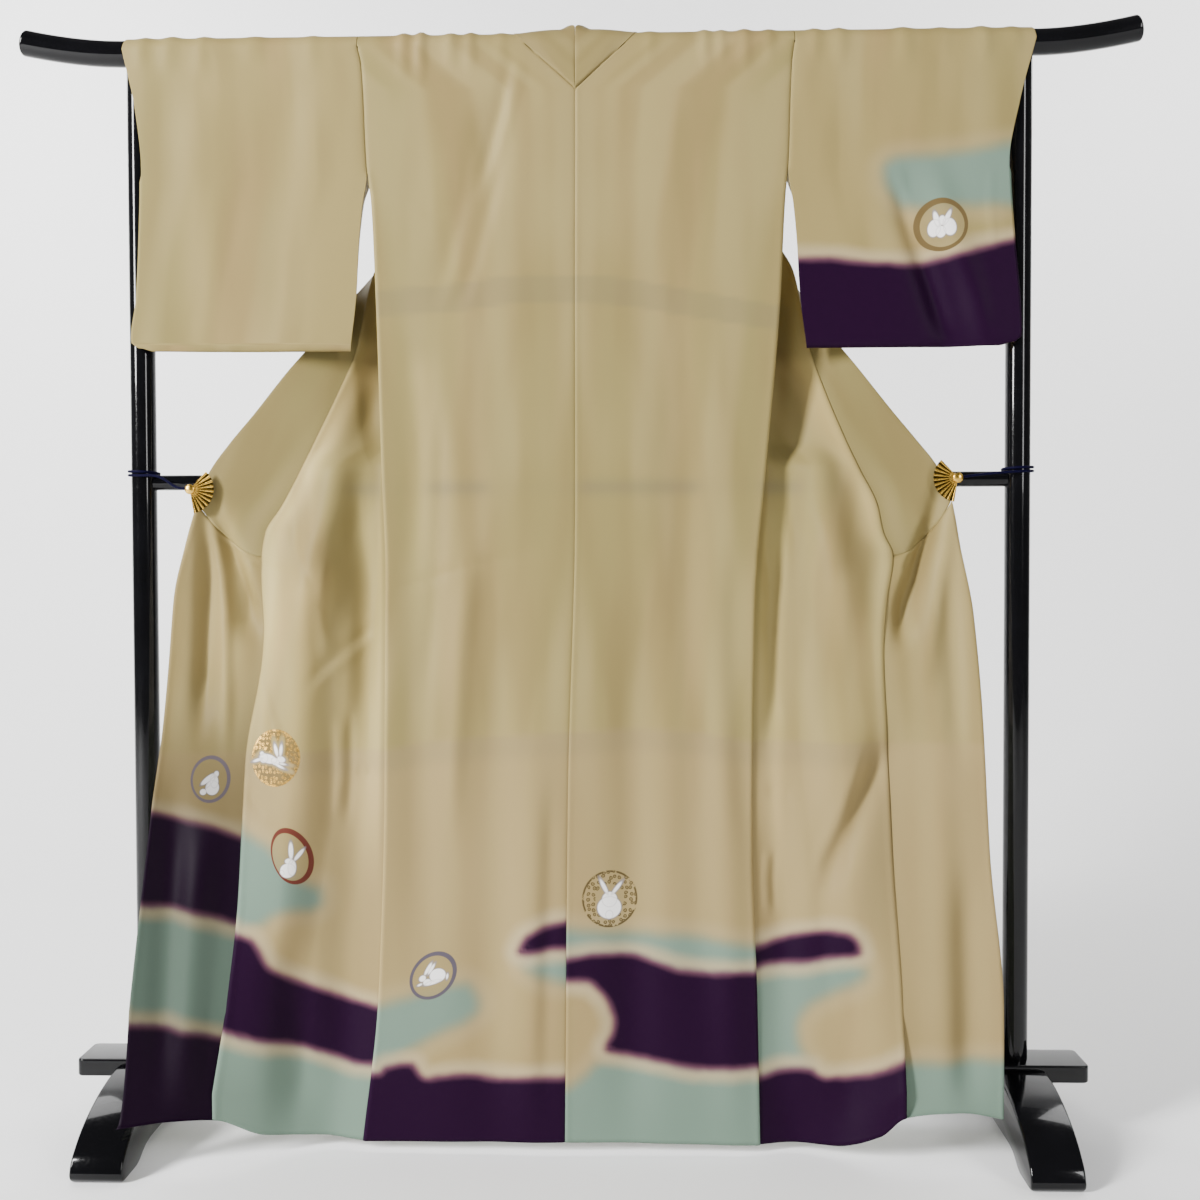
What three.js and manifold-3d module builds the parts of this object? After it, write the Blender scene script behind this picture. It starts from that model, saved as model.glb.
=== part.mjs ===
// A tsukesage kimono hung over the rail of a black lacquered kimono stand, its back to the viewer and
// its fronts opened out to both sides by two fan clips tied to the posts.
// Millimetres, +Z up, +X to the viewer's right, +Y away from the viewer. The origin is on the floor,
// midway between the feet. Every panel is a thin cloth wall that follows its own hanging line.
import * as THREE from "three";
import { mergeVertices } from "three/addons/utils/BufferGeometryUtils.js";
import Module from "manifold-3d";

const wasm = await Module();
wasm.setup();

// The clearance between pieces that touch, the cloth's thickness, and how far a lapped layer lies off.
const GAP = 0.3;
const CLOTH = 2;
const LAP = CLOTH + 0.4;

// The stand.
const RAIL = { radius: 19, z: 1618, half: 834, riseFrom: 684, rise: 19, sides: 16 };
const POST = { x: 656, radius: 18.5 };
const MID_RAIL = { radius: 11.5, z: 975 };
const BOARD = { half: 757, depth: 70, top: 106, thickness: 26, corner: 9, bevel: 3 };
const FOOT = { width: 74, half: 216, bevel: 5, toe: 12, padFrom: 158, archZ: 18 };

// The top of a foot, from the board's face out to the toe: distance from the middle, height.
const FOOT_TOP = [
  { y: 36, z: 98 }, { y: 62, z: 95.5 }, { y: 103, z: 88 }, { y: 139, z: 76 }, { y: 170, z: 61 },
  { y: 196, z: 42 }, { y: 211, z: 26 }, { y: 216, z: 12 },
];

// The hem and the neck, the sleeve's length and its cuff.
const NECK = { half: 74, dip: 1551, tip: 8 };
const SLEEVE = { bottom: 1169, cuffBottom: 1430, sewnTo: 1425, foldRadius: 3.4 };
const WRAP_RADIUS = RAIL.radius + GAP + CLOTH / 2;
const WRAP_STEPS = 4;
const CROWN_PARTING = 0.8;

// Heights at which every panel of the body is drawn, from the rail's middle down; the hem follows.
const LEVELS = [
  1618, 1590, 1551, 1500, 1440, 1385, 1320, 1255, 1190, 1125, 1065, 1010, 985, 960, 930, 895, 861, 800, 735,
  660, 570, 460, 340, 210,
];
const END_LEVEL = 861;
const STRIP_ACROSS = 5;

// The height of the hem across the garment.
const HEM = [
  { x: -640, z: 66 }, { x: -575, z: 69 }, { x: -514, z: 64 }, { x: -446, z: 31 }, { x: -380, z: 20 },
  { x: -310, z: 14 }, { x: -150, z: 15 }, { x: 0, z: 16 }, { x: 265, z: 13 }, { x: 364, z: 15 },
  { x: 432, z: 41 }, { x: 466, z: 72 }, { x: 540, z: 79 }, { x: 610, z: 69 },
];

// The centre back seam.
const CENTRE = [
  { z: 10, x: -16, y: -104 }, { z: 506, x: -12, y: -72 }, { z: 944, x: -1, y: -45 }, { z: 1239, x: -1, y: -31 },
  { z: 1500, x: 0, y: -24 }, { z: 1618, x: 0, y: -WRAP_RADIUS },
];

// What differs between the two sides: "out" is the distance from the middle.
const SIDES = {
  left: {
    sign: -1,
    // The back's own side edge.
    back: [
      { z: 10, out: 310, y: -100 }, { z: 216, out: 289, y: -86 }, { z: 540, out: 281, y: -68 },
      { z: 827, out: 281, y: -51 }, { z: 990, out: 287, y: -43 }, { z: 1257, out: 297, y: -28 },
      { z: 1390, out: 303, y: -25 }, { z: 1435, out: 309, y: -24 }, { z: 1590, out: 317, y: -21.5 },
      { z: 1618, out: 323, y: -WRAP_RADIUS },
    ],
    // The long seam of the front with the collar, and below the collar with the okumi.
    seam: [
      { z: 60, out: 514, y: -150 }, { z: 220, out: 500, y: -126 }, { z: 366, out: 489, y: -102 },
      { z: 564, out: 486, y: -70 }, { z: 724, out: 466, y: -46 }, { z: 861, out: 471, y: -28 },
      { z: 899, out: 466, y: -24 }, { z: 937, out: 443, y: -20 }, { z: 990, out: 415, y: -17 },
      { z: 1032, out: 395, y: -10 }, { z: 1105, out: 363, y: 6 }, { z: 1177, out: 338, y: 24 },
      { z: 1235, out: 328, y: 36 }, { z: 1293, out: 316, y: 48 }, { z: 1335, out: 297, y: 58 },
      { z: 1400, out: 262, y: 64 }, { z: 1480, out: 208, y: 64 }, { z: 1553, out: 150, y: 49 },
      { z: 1618, out: 92, y: WRAP_RADIUS },
    ],
    // The free edge of the collar beside each height of its seam; sag drops the middle of its end.
    collar: [
      { z: 861, out: 566, y: -32, height: 942, sag: -18 }, { z: 899, out: 560, y: -29, height: 968, sag: -8 },
      { z: 937, out: 546, y: -25, height: 994, sag: 0 }, { z: 990, out: 518, y: -19, height: 1034, sag: 0 },
      { z: 1032, out: 487, y: -11, height: 1074, sag: 0 }, { z: 1105, out: 438, y: 1, height: 1140, sag: 0 },
      { z: 1177, out: 390, y: 18, height: 1200, sag: 0 }, { z: 1235, out: 358, y: 48, height: 1248, sag: 0 },
      { z: 1293, out: 322, y: 80, height: 1300, sag: 0 }, { z: 1335, out: 285, y: 84, height: 1341, sag: 0 },
      { z: 1400, out: 234, y: 86, height: 1404, sag: 0 }, { z: 1480, out: 168, y: 82, height: 1483, sag: 0 },
      { z: 1553, out: 112, y: 57, height: 1555, sag: 0 }, { z: 1618, out: 50, y: WRAP_RADIUS + LAP, height: 1618, sag: 0 },
    ],
    // The free edge of the okumi beside each height of its seam.
    okumi: [
      { z: 60, out: 636, y: -190, height: 66 }, { z: 220, out: 630, y: -151, height: 230 },
      { z: 366, out: 622, y: -121, height: 385 }, { z: 460, out: 617, y: -97, height: 490 },
      { z: 564, out: 606, y: -74, height: 610 }, { z: 640, out: 601, y: -61, height: 700 },
      { z: 724, out: 597, y: -47, height: 800 }, { z: 800, out: 582, y: -38, height: 880 },
      { z: 861, out: 567, y: -32, height: 942 },
    ],
    // The sleeve's outer edge.
    cuff: [
      { z: 1160, out: 645 }, { z: 1172, out: 656 }, { z: 1188, out: 661 }, { z: 1246, out: 653 },
      { z: 1330, out: 648 }, { z: 1430, out: 645 }, { z: 1527, out: 655 }, { z: 1618, out: 675 },
    ],
    clip: { out: 575, z: 963 },
  },
  right: {
    sign: 1,
    back: [
      { z: 10, out: 265, y: -100 }, { z: 219, out: 262, y: -88 }, { z: 434, out: 256, y: -74 },
      { z: 797, out: 262, y: -53 }, { z: 990, out: 279, y: -43 }, { z: 1237, out: 301, y: -29 },
      { z: 1390, out: 309, y: -25 }, { z: 1435, out: 313, y: -24 }, { z: 1590, out: 319, y: -21.5 },
      { z: 1618, out: 323, y: -WRAP_RADIUS },
    ],
    seam: [
      { z: 60, out: 466, y: -145 }, { z: 230, out: 465, y: -118 }, { z: 423, out: 457, y: -88 },
      { z: 593, out: 454, y: -62 }, { z: 708, out: 451, y: -46 }, { z: 796, out: 458, y: -35 },
      { z: 861, out: 468, y: -28 }, { z: 896, out: 454, y: -24 }, { z: 936, out: 446, y: -20 },
      { z: 990, out: 420, y: -17 }, { z: 1032, out: 401, y: -10 }, { z: 1105, out: 373, y: 6 },
      { z: 1177, out: 351, y: 24 }, { z: 1235, out: 341, y: 36 }, { z: 1297, out: 329, y: 48 },
      { z: 1335, out: 310, y: 58 }, { z: 1400, out: 270, y: 64 }, { z: 1480, out: 211, y: 64 },
      { z: 1553, out: 150, y: 49 }, { z: 1618, out: 92, y: WRAP_RADIUS },
    ],
    collar: [
      { z: 861, out: 551, y: -32, height: 942, sag: -22 }, { z: 899, out: 543, y: -29, height: 968, sag: -9 },
      { z: 937, out: 531, y: -25, height: 994, sag: 0 }, { z: 990, out: 501, y: -19, height: 1034, sag: 0 },
      { z: 1032, out: 470, y: -11, height: 1074, sag: 0 }, { z: 1105, out: 421, y: 1, height: 1140, sag: 0 },
      { z: 1177, out: 377, y: 18, height: 1200, sag: 0 }, { z: 1235, out: 349, y: 48, height: 1248, sag: 0 },
      { z: 1293, out: 323, y: 80, height: 1300, sag: 0 }, { z: 1335, out: 288, y: 84, height: 1341, sag: 0 },
      { z: 1400, out: 236, y: 86, height: 1404, sag: 0 }, { z: 1480, out: 169, y: 82, height: 1483, sag: 0 },
      { z: 1553, out: 112, y: 57, height: 1555, sag: 0 }, { z: 1618, out: 50, y: WRAP_RADIUS + LAP, height: 1618, sag: 0 },
    ],
    okumi: [
      { z: 60, out: 602, y: -140, height: 69 }, { z: 230, out: 606, y: -123, height: 235 },
      { z: 423, out: 592, y: -98, height: 440 }, { z: 593, out: 588, y: -72, height: 630 },
      { z: 708, out: 580, y: -50, height: 775 }, { z: 796, out: 562, y: -38, height: 880 },
      { z: 861, out: 552, y: -32, height: 942 },
    ],
    cuff: [
      { z: 1160, out: 638 }, { z: 1172, out: 647 }, { z: 1188, out: 651 }, { z: 1246, out: 648 },
      { z: 1330, out: 640 }, { z: 1430, out: 634 }, { z: 1527, out: 651 }, { z: 1618, out: 675 },
    ],
    clip: { out: 560, z: 975 },
  },
};

// The front's side edge on the far side of the rail, above where it meets the back's.
const FRONT_SIDE_Y = [
  { z: 1250, y: -26 }, { z: 1335, y: -10 }, { z: 1425, y: 6 }, { z: 1500, y: 14 }, { z: 1618, y: WRAP_RADIUS },
];

// How a front hangs between its side edge and its long seam: three guide lines, each by its distance
// outward from the side edge, negative where the cloth first turns in behind the back, and its depth.
const FRONT_FOLDS = [
  { z: 10, b: 45, bY: -88, c: 95, cY: -102, d: 150, dY: -128 },
  { z: 220, b: 47, bY: -72, c: 98, cY: -90, d: 152, dY: -118 },
  { z: 366, b: 41, bY: -62, c: 88, cY: -78, d: 145, dY: -106 },
  { z: 564, b: 31, bY: -50, c: 70, cY: -58, d: 132, dY: -86 },
  { z: 724, b: 24, bY: -36, c: 60, cY: -44, d: 118, dY: -66 },
  { z: 861, b: 18, bY: -24, c: 53, cY: -28, d: 110, dY: -46 },
  { z: 937, b: 11, bY: -22, c: 40, cY: -17.5, d: 82, dY: -27 },
  { z: 990, b: 5, bY: -21, c: 33, cY: -17, d: 72, dY: -20 },
  { z: 1032, b: -13, bY: -18, c: 2, cY: 6, d: 46, dY: 8 },
  { z: 1105, b: -29, bY: -12, c: -29, cY: 14, d: 12, dY: 26 },
  { z: 1177, b: -44, bY: -6, c: -62, cY: 22, d: -22, dY: 40 },
  { z: 1235, b: -52, bY: 4, c: -76, cY: 28, d: -40, dY: 50 },
  { z: 1293, b: -58, bY: 10, c: -90, cY: 34, d: -62, dY: 58 },
  { z: 1335, b: -60, bY: 12, c: -100, cY: 36, d: -82, dY: 60 },
  { z: 1400, b: -62, bY: 15, c: -106, cY: 36, d: -100, dY: 58 },
  { z: 1480, b: -66, bY: 22, c: -118, cY: 36, d: -138, dY: 54 },
  { z: 1553, b: -56, bY: 26, c: -108, cY: 38, d: -146, dY: 46 },
  { z: 1618, b: -58, bY: WRAP_RADIUS, c: -116, cY: WRAP_RADIUS, d: -174, dY: WRAP_RADIUS },
];

// The sleeve's hanging: the inner edge's distance past the body's edge, and the depth of both sheets.
const SLEEVE_HANG = [
  { z: 1160, past: 30, nearY: -20, farY: -8, edgeNearY: -28, farOut: 650, edgeFarY: -21.4 },
  { z: 1250, past: 18, nearY: -24, farY: -3, edgeNearY: -28.4, farOut: 653, edgeFarY: -21.6 },
  { z: 1330, past: 13, nearY: -25, farY: 0, edgeNearY: -28.4, farOut: 648, edgeFarY: -21.6 },
  { z: 1380, past: 8, nearY: -25, farY: 3, edgeNearY: -28.2, farOut: 646, edgeFarY: -21.6 },
  { z: 1430, past: 0.7, nearY: -24, farY: 6.6, edgeNearY: -28, farOut: 644, edgeFarY: -21.8 },
  { z: 1462, past: 0.7, nearY: -23.6, farY: 10, edgeNearY: -26, farOut: 630, edgeFarY: -12 },
  { z: 1500, past: 0.7, nearY: -23, farY: 14, edgeNearY: -24, farOut: 627, edgeFarY: 2 },
  { z: 1550, past: 0.7, nearY: -22, farY: 16.6, edgeNearY: -22.4, farOut: 631, edgeFarY: 14 },
  { z: 1590, past: 0.7, nearY: -21.5, farY: 18.8, edgeNearY: -21.5, farOut: 650, edgeFarY: 20.8 },
  { z: 1618, past: 0.7, nearY: -WRAP_RADIUS, farY: WRAP_RADIUS, edgeNearY: -WRAP_RADIUS, farOut: 664, edgeFarY: WRAP_RADIUS },
];
const SLEEVE_ACROSS = [0, 0.14, 0.3, 0.46, 0.61, 0.75, 0.86, 0.94, 1];
const SLEEVE_LEVELS = [1618, 1590, 1550, 1500, 1462, 1430, 1370, 1300, 1240, 1182];

// Soft folds of the cloth, each a trough (positive depth, away from the viewer) or a ridge (negative)
// between two points of the picture plane.
const FOLDS = [
  { x1: -88, z1: 1600, x2: -205, z2: 1230, width: 30, depth: 5 },
  { x1: -236, z1: 1150, x2: -226, z2: 260, width: 34, depth: 7 },
  { x1: -118, z1: 900, x2: -128, z2: 20, width: 38, depth: 6 },
  { x1: -60, z1: 640, x2: -66, z2: 20, width: 30, depth: -5 },
  { x1: 92, z1: 860, x2: 78, z2: 20, width: 36, depth: 8 },
  { x1: 150, z1: 1180, x2: 186, z2: 200, width: 36, depth: 6 },
  { x1: 214, z1: 760, x2: 226, z2: 20, width: 28, depth: -5 },
  { x1: -372, z1: 820, x2: -352, z2: 420, width: 26, depth: 6 },
  { x1: -420, z1: 330, x2: -402, z2: 40, width: 30, depth: 8 },
  { x1: 452, z1: 610, x2: 352, z2: 380, width: 26, depth: 9 },
  { x1: 330, z1: 520, x2: 322, z2: 40, width: 28, depth: -7 },
  { x1: 404, z1: 320, x2: 396, z2: 40, width: 26, depth: 8 },
  { x1: -551, z1: 905, x2: -548, z2: 620, width: 17, depth: 9 },
  { x1: -538, z1: 905, x2: -480, z2: 735, width: 19, depth: 11 },
  { x1: -588, z1: 560, x2: -584, z2: 110, width: 24, depth: 8 },
  { x1: -540, z1: 480, x2: -556, z2: 80, width: 24, depth: -7 },
  { x1: 524, z1: 905, x2: 474, z2: 735, width: 19, depth: 12 },
  { x1: 546, z1: 880, x2: 556, z2: 560, width: 18, depth: 7 },
  { x1: 520, z1: 600, x2: 528, z2: 90, width: 24, depth: -6 },
  { x1: 562, z1: 420, x2: 556, z2: 90, width: 24, depth: 9 },
  { x1: 478, z1: 1420, x2: 566, z2: 1172, width: 22, depth: 9 },
  { x1: 520, z1: 1440, x2: 606, z2: 1180, width: 20, depth: -4 },
  { x1: -430, z1: 1580, x2: -448, z2: 1180, width: 36, depth: 4 },
  { x1: -556, z1: 1560, x2: -540, z2: 1190, width: 34, depth: -4 },
];
const FOLD_TOP = 1600;
const FOLD_FADE = 90;

// The fan clips and the cords that tie them to the posts.
const FAN = { ribs: 10, from: -78, to: 44, inner: 7, outer: 36, plate: 1.2, ridge: 1.9, barrel: 4.2, jaw: 20 };
const CORD = { diameter: 4, sides: 8 };

const BLACK = { color: 0x0b0b0c, roughness: 0.12, metalness: 0 };
const SILK = { color: 0xbbb08c, roughness: 0.55, metalness: 0 };
const GOLD = { color: 0xc9a24a, roughness: 0.25, metalness: 1 };
const NAVY = { color: 0x14133f, roughness: 0.6, metalness: 0 };

// Smooth reading of a table: one column by another, without overshoot between its rows.
function read(rows, key, name, at) {
  const count = rows.length;
  if (at <= rows[0][key]) return rows[0][name];
  if (at >= rows[count - 1][key]) return rows[count - 1][name];
  let row = 0;
  while (at > rows[row + 1][key]) row += 1;
  const step = (i) => rows[i + 1][key] - rows[i][key];
  const slope = (i) => (rows[i + 1][name] - rows[i][name]) / step(i);
  const tangent = (i) => {
    if (i === 0) return slope(0);
    if (i === count - 1) return slope(count - 2);
    const before = slope(i - 1);
    const after = slope(i);
    if (before * after <= 0) return 0;
    const w1 = 2 * step(i) + step(i - 1);
    const w2 = step(i) + 2 * step(i - 1);
    return (w1 + w2) / (w1 / before + w2 / after);
  };
  const h = step(row);
  const t = (at - rows[row][key]) / h;
  const t2 = t * t;
  const t3 = t2 * t;
  return (
    (2 * t3 - 3 * t2 + 1) * rows[row][name] +
    (t3 - 2 * t2 + t) * h * tangent(row) +
    (3 * t2 - 2 * t3) * rows[row + 1][name] +
    (t3 - t2) * h * tangent(row + 1)
  );
}

const mix = (a, b, t) => a + (b - a) * t;
const ease = (from, to, at) => {
  const t = Math.min(1, Math.max(0, (at - from) / (to - from)));
  return t * t * (3 - 2 * t);
};

// The depth that the folds add at a point of the picture plane.
function foldDepth(x, z) {
  let total = 0;
  for (const fold of FOLDS) {
    const dx = fold.x2 - fold.x1;
    const dz = fold.z2 - fold.z1;
    const length = Math.hypot(dx, dz);
    const t = ((x - fold.x1) * dx + (z - fold.z1) * dz) / (length * length);
    const off = ((x - fold.x1) * dz - (z - fold.z1) * dx) / length;
    const fade = ease(-0.1, 0.3, t) * (1 - ease(0.75, 1.12, t));
    total += fold.depth * fade * Math.exp(-((off / fold.width) ** 2));
  }
  return total * (1 - ease(FOLD_TOP - FOLD_FADE, FOLD_TOP, z));
}

const drape = (x, y, z) => new THREE.Vector3(x, y + foldDepth(x, z), z);
const hemAt = (x) => read(HEM, "x", "z", x);
const backSide = (side, z) => ({ out: read(side.back, "z", "out", z), y: read(side.back, "z", "y", z) });
const seamAt = (side, z) => ({ out: read(side.seam, "z", "out", z), y: read(side.seam, "z", "y", z) });
const frontSideY = (side, z) => (z < 1250 ? backSide(side, z).y : read(FRONT_SIDE_Y, "z", "y", z)) + LAP * (1 - ease(1250, 1425, z));

// The part of a panel that bends over the rail, as rows of points above a row at the rail's middle.
function overRail(row, face, radius) {
  const rows = [];
  for (let i = WRAP_STEPS; i >= 1; i -= 1) {
    const angle = (Math.PI / 2) * (i / WRAP_STEPS);
    rows.push(row.map((p) => new THREE.Vector3(
      p.x, face * Math.max(radius * Math.cos(angle), CROWN_PARTING / 2), RAIL.z + radius * Math.sin(angle))));
  }
  return rows;
}

// A closed wall of cloth round a sheet of points: both faces, and a rim along every open edge.
function thicken(points, quads, thickness) {
  const normals = points.map(() => new THREE.Vector3());
  const ab = new THREE.Vector3();
  const ac = new THREE.Vector3();
  for (const [a, b, c, d] of quads) {
    ab.subVectors(points[c], points[a]);
    ac.subVectors(points[d], points[b]);
    const normal = new THREE.Vector3().crossVectors(ab, ac);
    for (const index of new Set([a, b, c, d])) normals[index].add(normal);
  }
  const count = points.length;
  const position = [];
  for (const face of [1, -1]) {
    points.forEach((p, i) => {
      const offset = normals[i].clone().normalize().multiplyScalar((face * thickness) / 2);
      position.push(p.x + offset.x, p.y + offset.y, p.z + offset.z);
    });
  }
  const faces = [];
  const edges = new Map();
  const addTriangle = (a, b, c) => {
    if (a === b || b === c || a === c) return;
    faces.push(a, b, c, count + a, count + c, count + b);
  };
  for (const quad of quads) {
    const [a, b, c, d] = quad;
    addTriangle(a, b, c);
    addTriangle(a, c, d);
    for (let i = 0; i < 4; i += 1) {
      const from = quad[i];
      const to = quad[(i + 1) % 4];
      if (from === to) continue;
      if (edges.has(`${to},${from}`)) edges.delete(`${to},${from}`);
      else edges.set(`${from},${to}`, [from, to]);
    }
  }
  for (const [from, to] of edges.values()) {
    faces.push(count + from, count + to, to, count + from, to, from);
  }
  const geometry = new THREE.BufferGeometry();
  geometry.setAttribute("position", new THREE.Float32BufferAttribute(position, 3));
  geometry.setIndex(faces);
  return geometry;
}

// A sheet of points in rows and columns, made into a wall; flip turns its faces for the other side.
function sheet(rows, flip) {
  const across = rows[0].length;
  const quads = [];
  for (let r = 0; r + 1 < rows.length; r += 1) {
    for (let c = 0; c + 1 < across; c += 1) {
      const quad = [r * across + c, (r + 1) * across + c, (r + 1) * across + c + 1, r * across + c + 1];
      quads.push(flip ? quad.reverse() : quad);
    }
  }
  return thicken(rows.flat(), quads, CLOTH);
}

const object = new THREE.Group();

function add(name, geometry, look) {
  const mesh = new THREE.Mesh(geometry, new THREE.MeshStandardMaterial({ ...look, name }));
  mesh.name = name;
  object.add(mesh);
  return mesh;
}

// One half of the back: from the neck and the centre seam to the side edge.
function backPanel(side) {
  const across = 7;
  const rowAt = (z, isHem) => {
    const edge = backSide(side, z);
    const centreX = read(CENTRE, "z", "x", z) + (side.sign * GAP) / 2;
    const centreY = read(CENTRE, "z", "y", z);
    const neck = NECK.half * Math.max(0, (z - NECK.dip) / (RAIL.z - NECK.dip));
    const row = [];
    for (let i = 0; i <= across; i += 1) {
      const t = i / across;
      const x = mix(centreX + side.sign * neck, side.sign * edge.out, t);
      const height = isHem ? hemAt(x) : z;
      row.push(drape(x, mix(centreY, edge.y, t), height));
    }
    return row;
  };
  const rows = LEVELS.map((z) => rowAt(z, false));
  rows.push(rowAt(10, true));
  return sheet([...overRail(rows[0], -1, WRAP_RADIUS), ...rows], side.sign > 0);
}

// One front: from its side edge, folded in behind the back, out to the long seam.
const FRONT_ACROSS = [0, 0.125, 0.25, 0.375, 0.5, 0.625, 0.75, 0.875, 1];

function frontRow(side, z, isHem) {
  const edgeOut = backSide(side, z).out;
  const edgeY = frontSideY(side, z);
  const seam = seamAt(side, z);
  const fold = (name) => read(FRONT_FOLDS, "z", name, z);
  const guides = [
    { u: 0, out: edgeOut, y: edgeY },
    { u: 0.25, out: edgeOut + fold("b"), y: fold("bY") },
    { u: 0.5, out: edgeOut + fold("c"), y: fold("cY") },
    { u: 0.75, out: edgeOut + fold("d"), y: fold("dY") },
    { u: 1, out: seam.out, y: seam.y },
  ];
  return FRONT_ACROSS.map((u) => {
    const x = side.sign * read(guides, "u", "out", u);
    const height = isHem ? hemAt(x) : z;
    return drape(x, read(guides, "u", "y", u), height);
  });
}

function frontPanel(side) {
  const rows = LEVELS.map((z) => frontRow(side, z, false));
  rows.push(frontRow(side, 10, true));
  return sheet([...overRail(rows[0], 1, WRAP_RADIUS), ...rows], side.sign < 0);
}

// The point of the collar or the okumi beside its long seam, lapped under the front's edge.
function seamPoint(side, z, isHem) {
  const seam = seamAt(side, z);
  const x = side.sign * seam.out;
  const point = drape(x, seam.y, isHem ? hemAt(x) : z);
  point.y += LAP;
  return point;
}

// The strip between the seam and a free edge, at one height of the seam.
function strip(start, side, edge, sag, across, isHem) {
  const row = [];
  for (let i = 0; i <= across; i += 1) {
    const t = i / across;
    const x = mix(start.x, side.sign * edge.out, t);
    const bow = 4 * t * (1 - t);
    const height = isHem ? hemAt(x) : mix(start.z, edge.height, t) + sag * bow;
    const y = mix(start.y, edge.y, t);
    const fold = foldDepth(x, height) * Math.min(1, 4 * t);
    row.push(new THREE.Vector3(x, y + fold, height));
  }
  return row;
}

const edgeAt = (rows, z) => ({ out: read(rows, "z", "out", z), y: read(rows, "z", "y", z), height: read(rows, "z", "height", z) });

// One half of the collar: from the slit at the centre back, over the rail, and down to its end.
function collar(side) {
  const across = STRIP_ACROSS;
  const levels = LEVELS.filter((z) => z >= END_LEVEL);
  const rows = levels.map((z) => {
    const start = seamPoint(side, z, false);
    return strip(start, side, edgeAt(side.collar, z), read(side.collar, "z", "sag", z), across, false);
  });
  const radius = WRAP_RADIUS + LAP;
  const slit = 1.2;
  const overTop = [];
  for (let i = 1; i <= WRAP_STEPS * 2; i += 1) {
    const angle = (Math.PI / 2) * (i / WRAP_STEPS);
    const share = i / (WRAP_STEPS * 2);
    const seamOut = mix(seamAt(side, RAIL.z).out, NECK.half - GAP, share);
    const freeOut = mix(edgeAt(side.collar, RAIL.z).out, slit, ease(0, 0.7, share));
    const row = [];
    for (let c = 0; c <= across; c += 1) {
      const t = c / across;
      const tip = NECK.tip * Math.sin(angle) * ease(0.35, 1, t);
      row.push(new THREE.Vector3(
        side.sign * mix(seamOut, freeOut, t), radius * Math.cos(angle), RAIL.z + (radius + tip) * Math.sin(angle)));
    }
    overTop.unshift(row);
  }
  const neckLevels = [1600, 1582, 1565];
  const neckRows = neckLevels.map((z) => {
    const seamOut = NECK.half * ((z - NECK.dip) / (RAIL.z - NECK.dip));
    const row = [];
    for (let c = 0; c <= across; c += 1) {
      const t = c / across;
      row.push(new THREE.Vector3(side.sign * mix(seamOut - GAP, slit, t), read(CENTRE, "z", "y", z) - LAP, z));
    }
    return row;
  });
  return sheet([...neckRows.reverse(), ...overTop, ...rows], side.sign > 0);
}

// The okumi: the narrow panel below the collar, from the long seam to the free edge.
function okumi(side) {
  const across = STRIP_ACROSS;
  const levels = LEVELS.filter((z) => z <= END_LEVEL);
  const rows = levels.map((z, index) => {
    const start = seamPoint(side, z, false);
    const sag = index === 0 ? read(side.collar, "z", "sag", z) : 0;
    const edge = index === 0 ? edgeAt(side.collar, z) : edgeAt(side.okumi, z);
    const row = strip(start, side, edge, sag, across, false);
    if (index === 0) row.forEach((p) => { p.z -= 2.2 * GAP; });
    return row;
  });
  rows.push(strip(seamPoint(side, 60, true), side, edgeAt(side.okumi, 60), 0, across, true));
  return sheet(rows, side.sign < 0);
}

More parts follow.
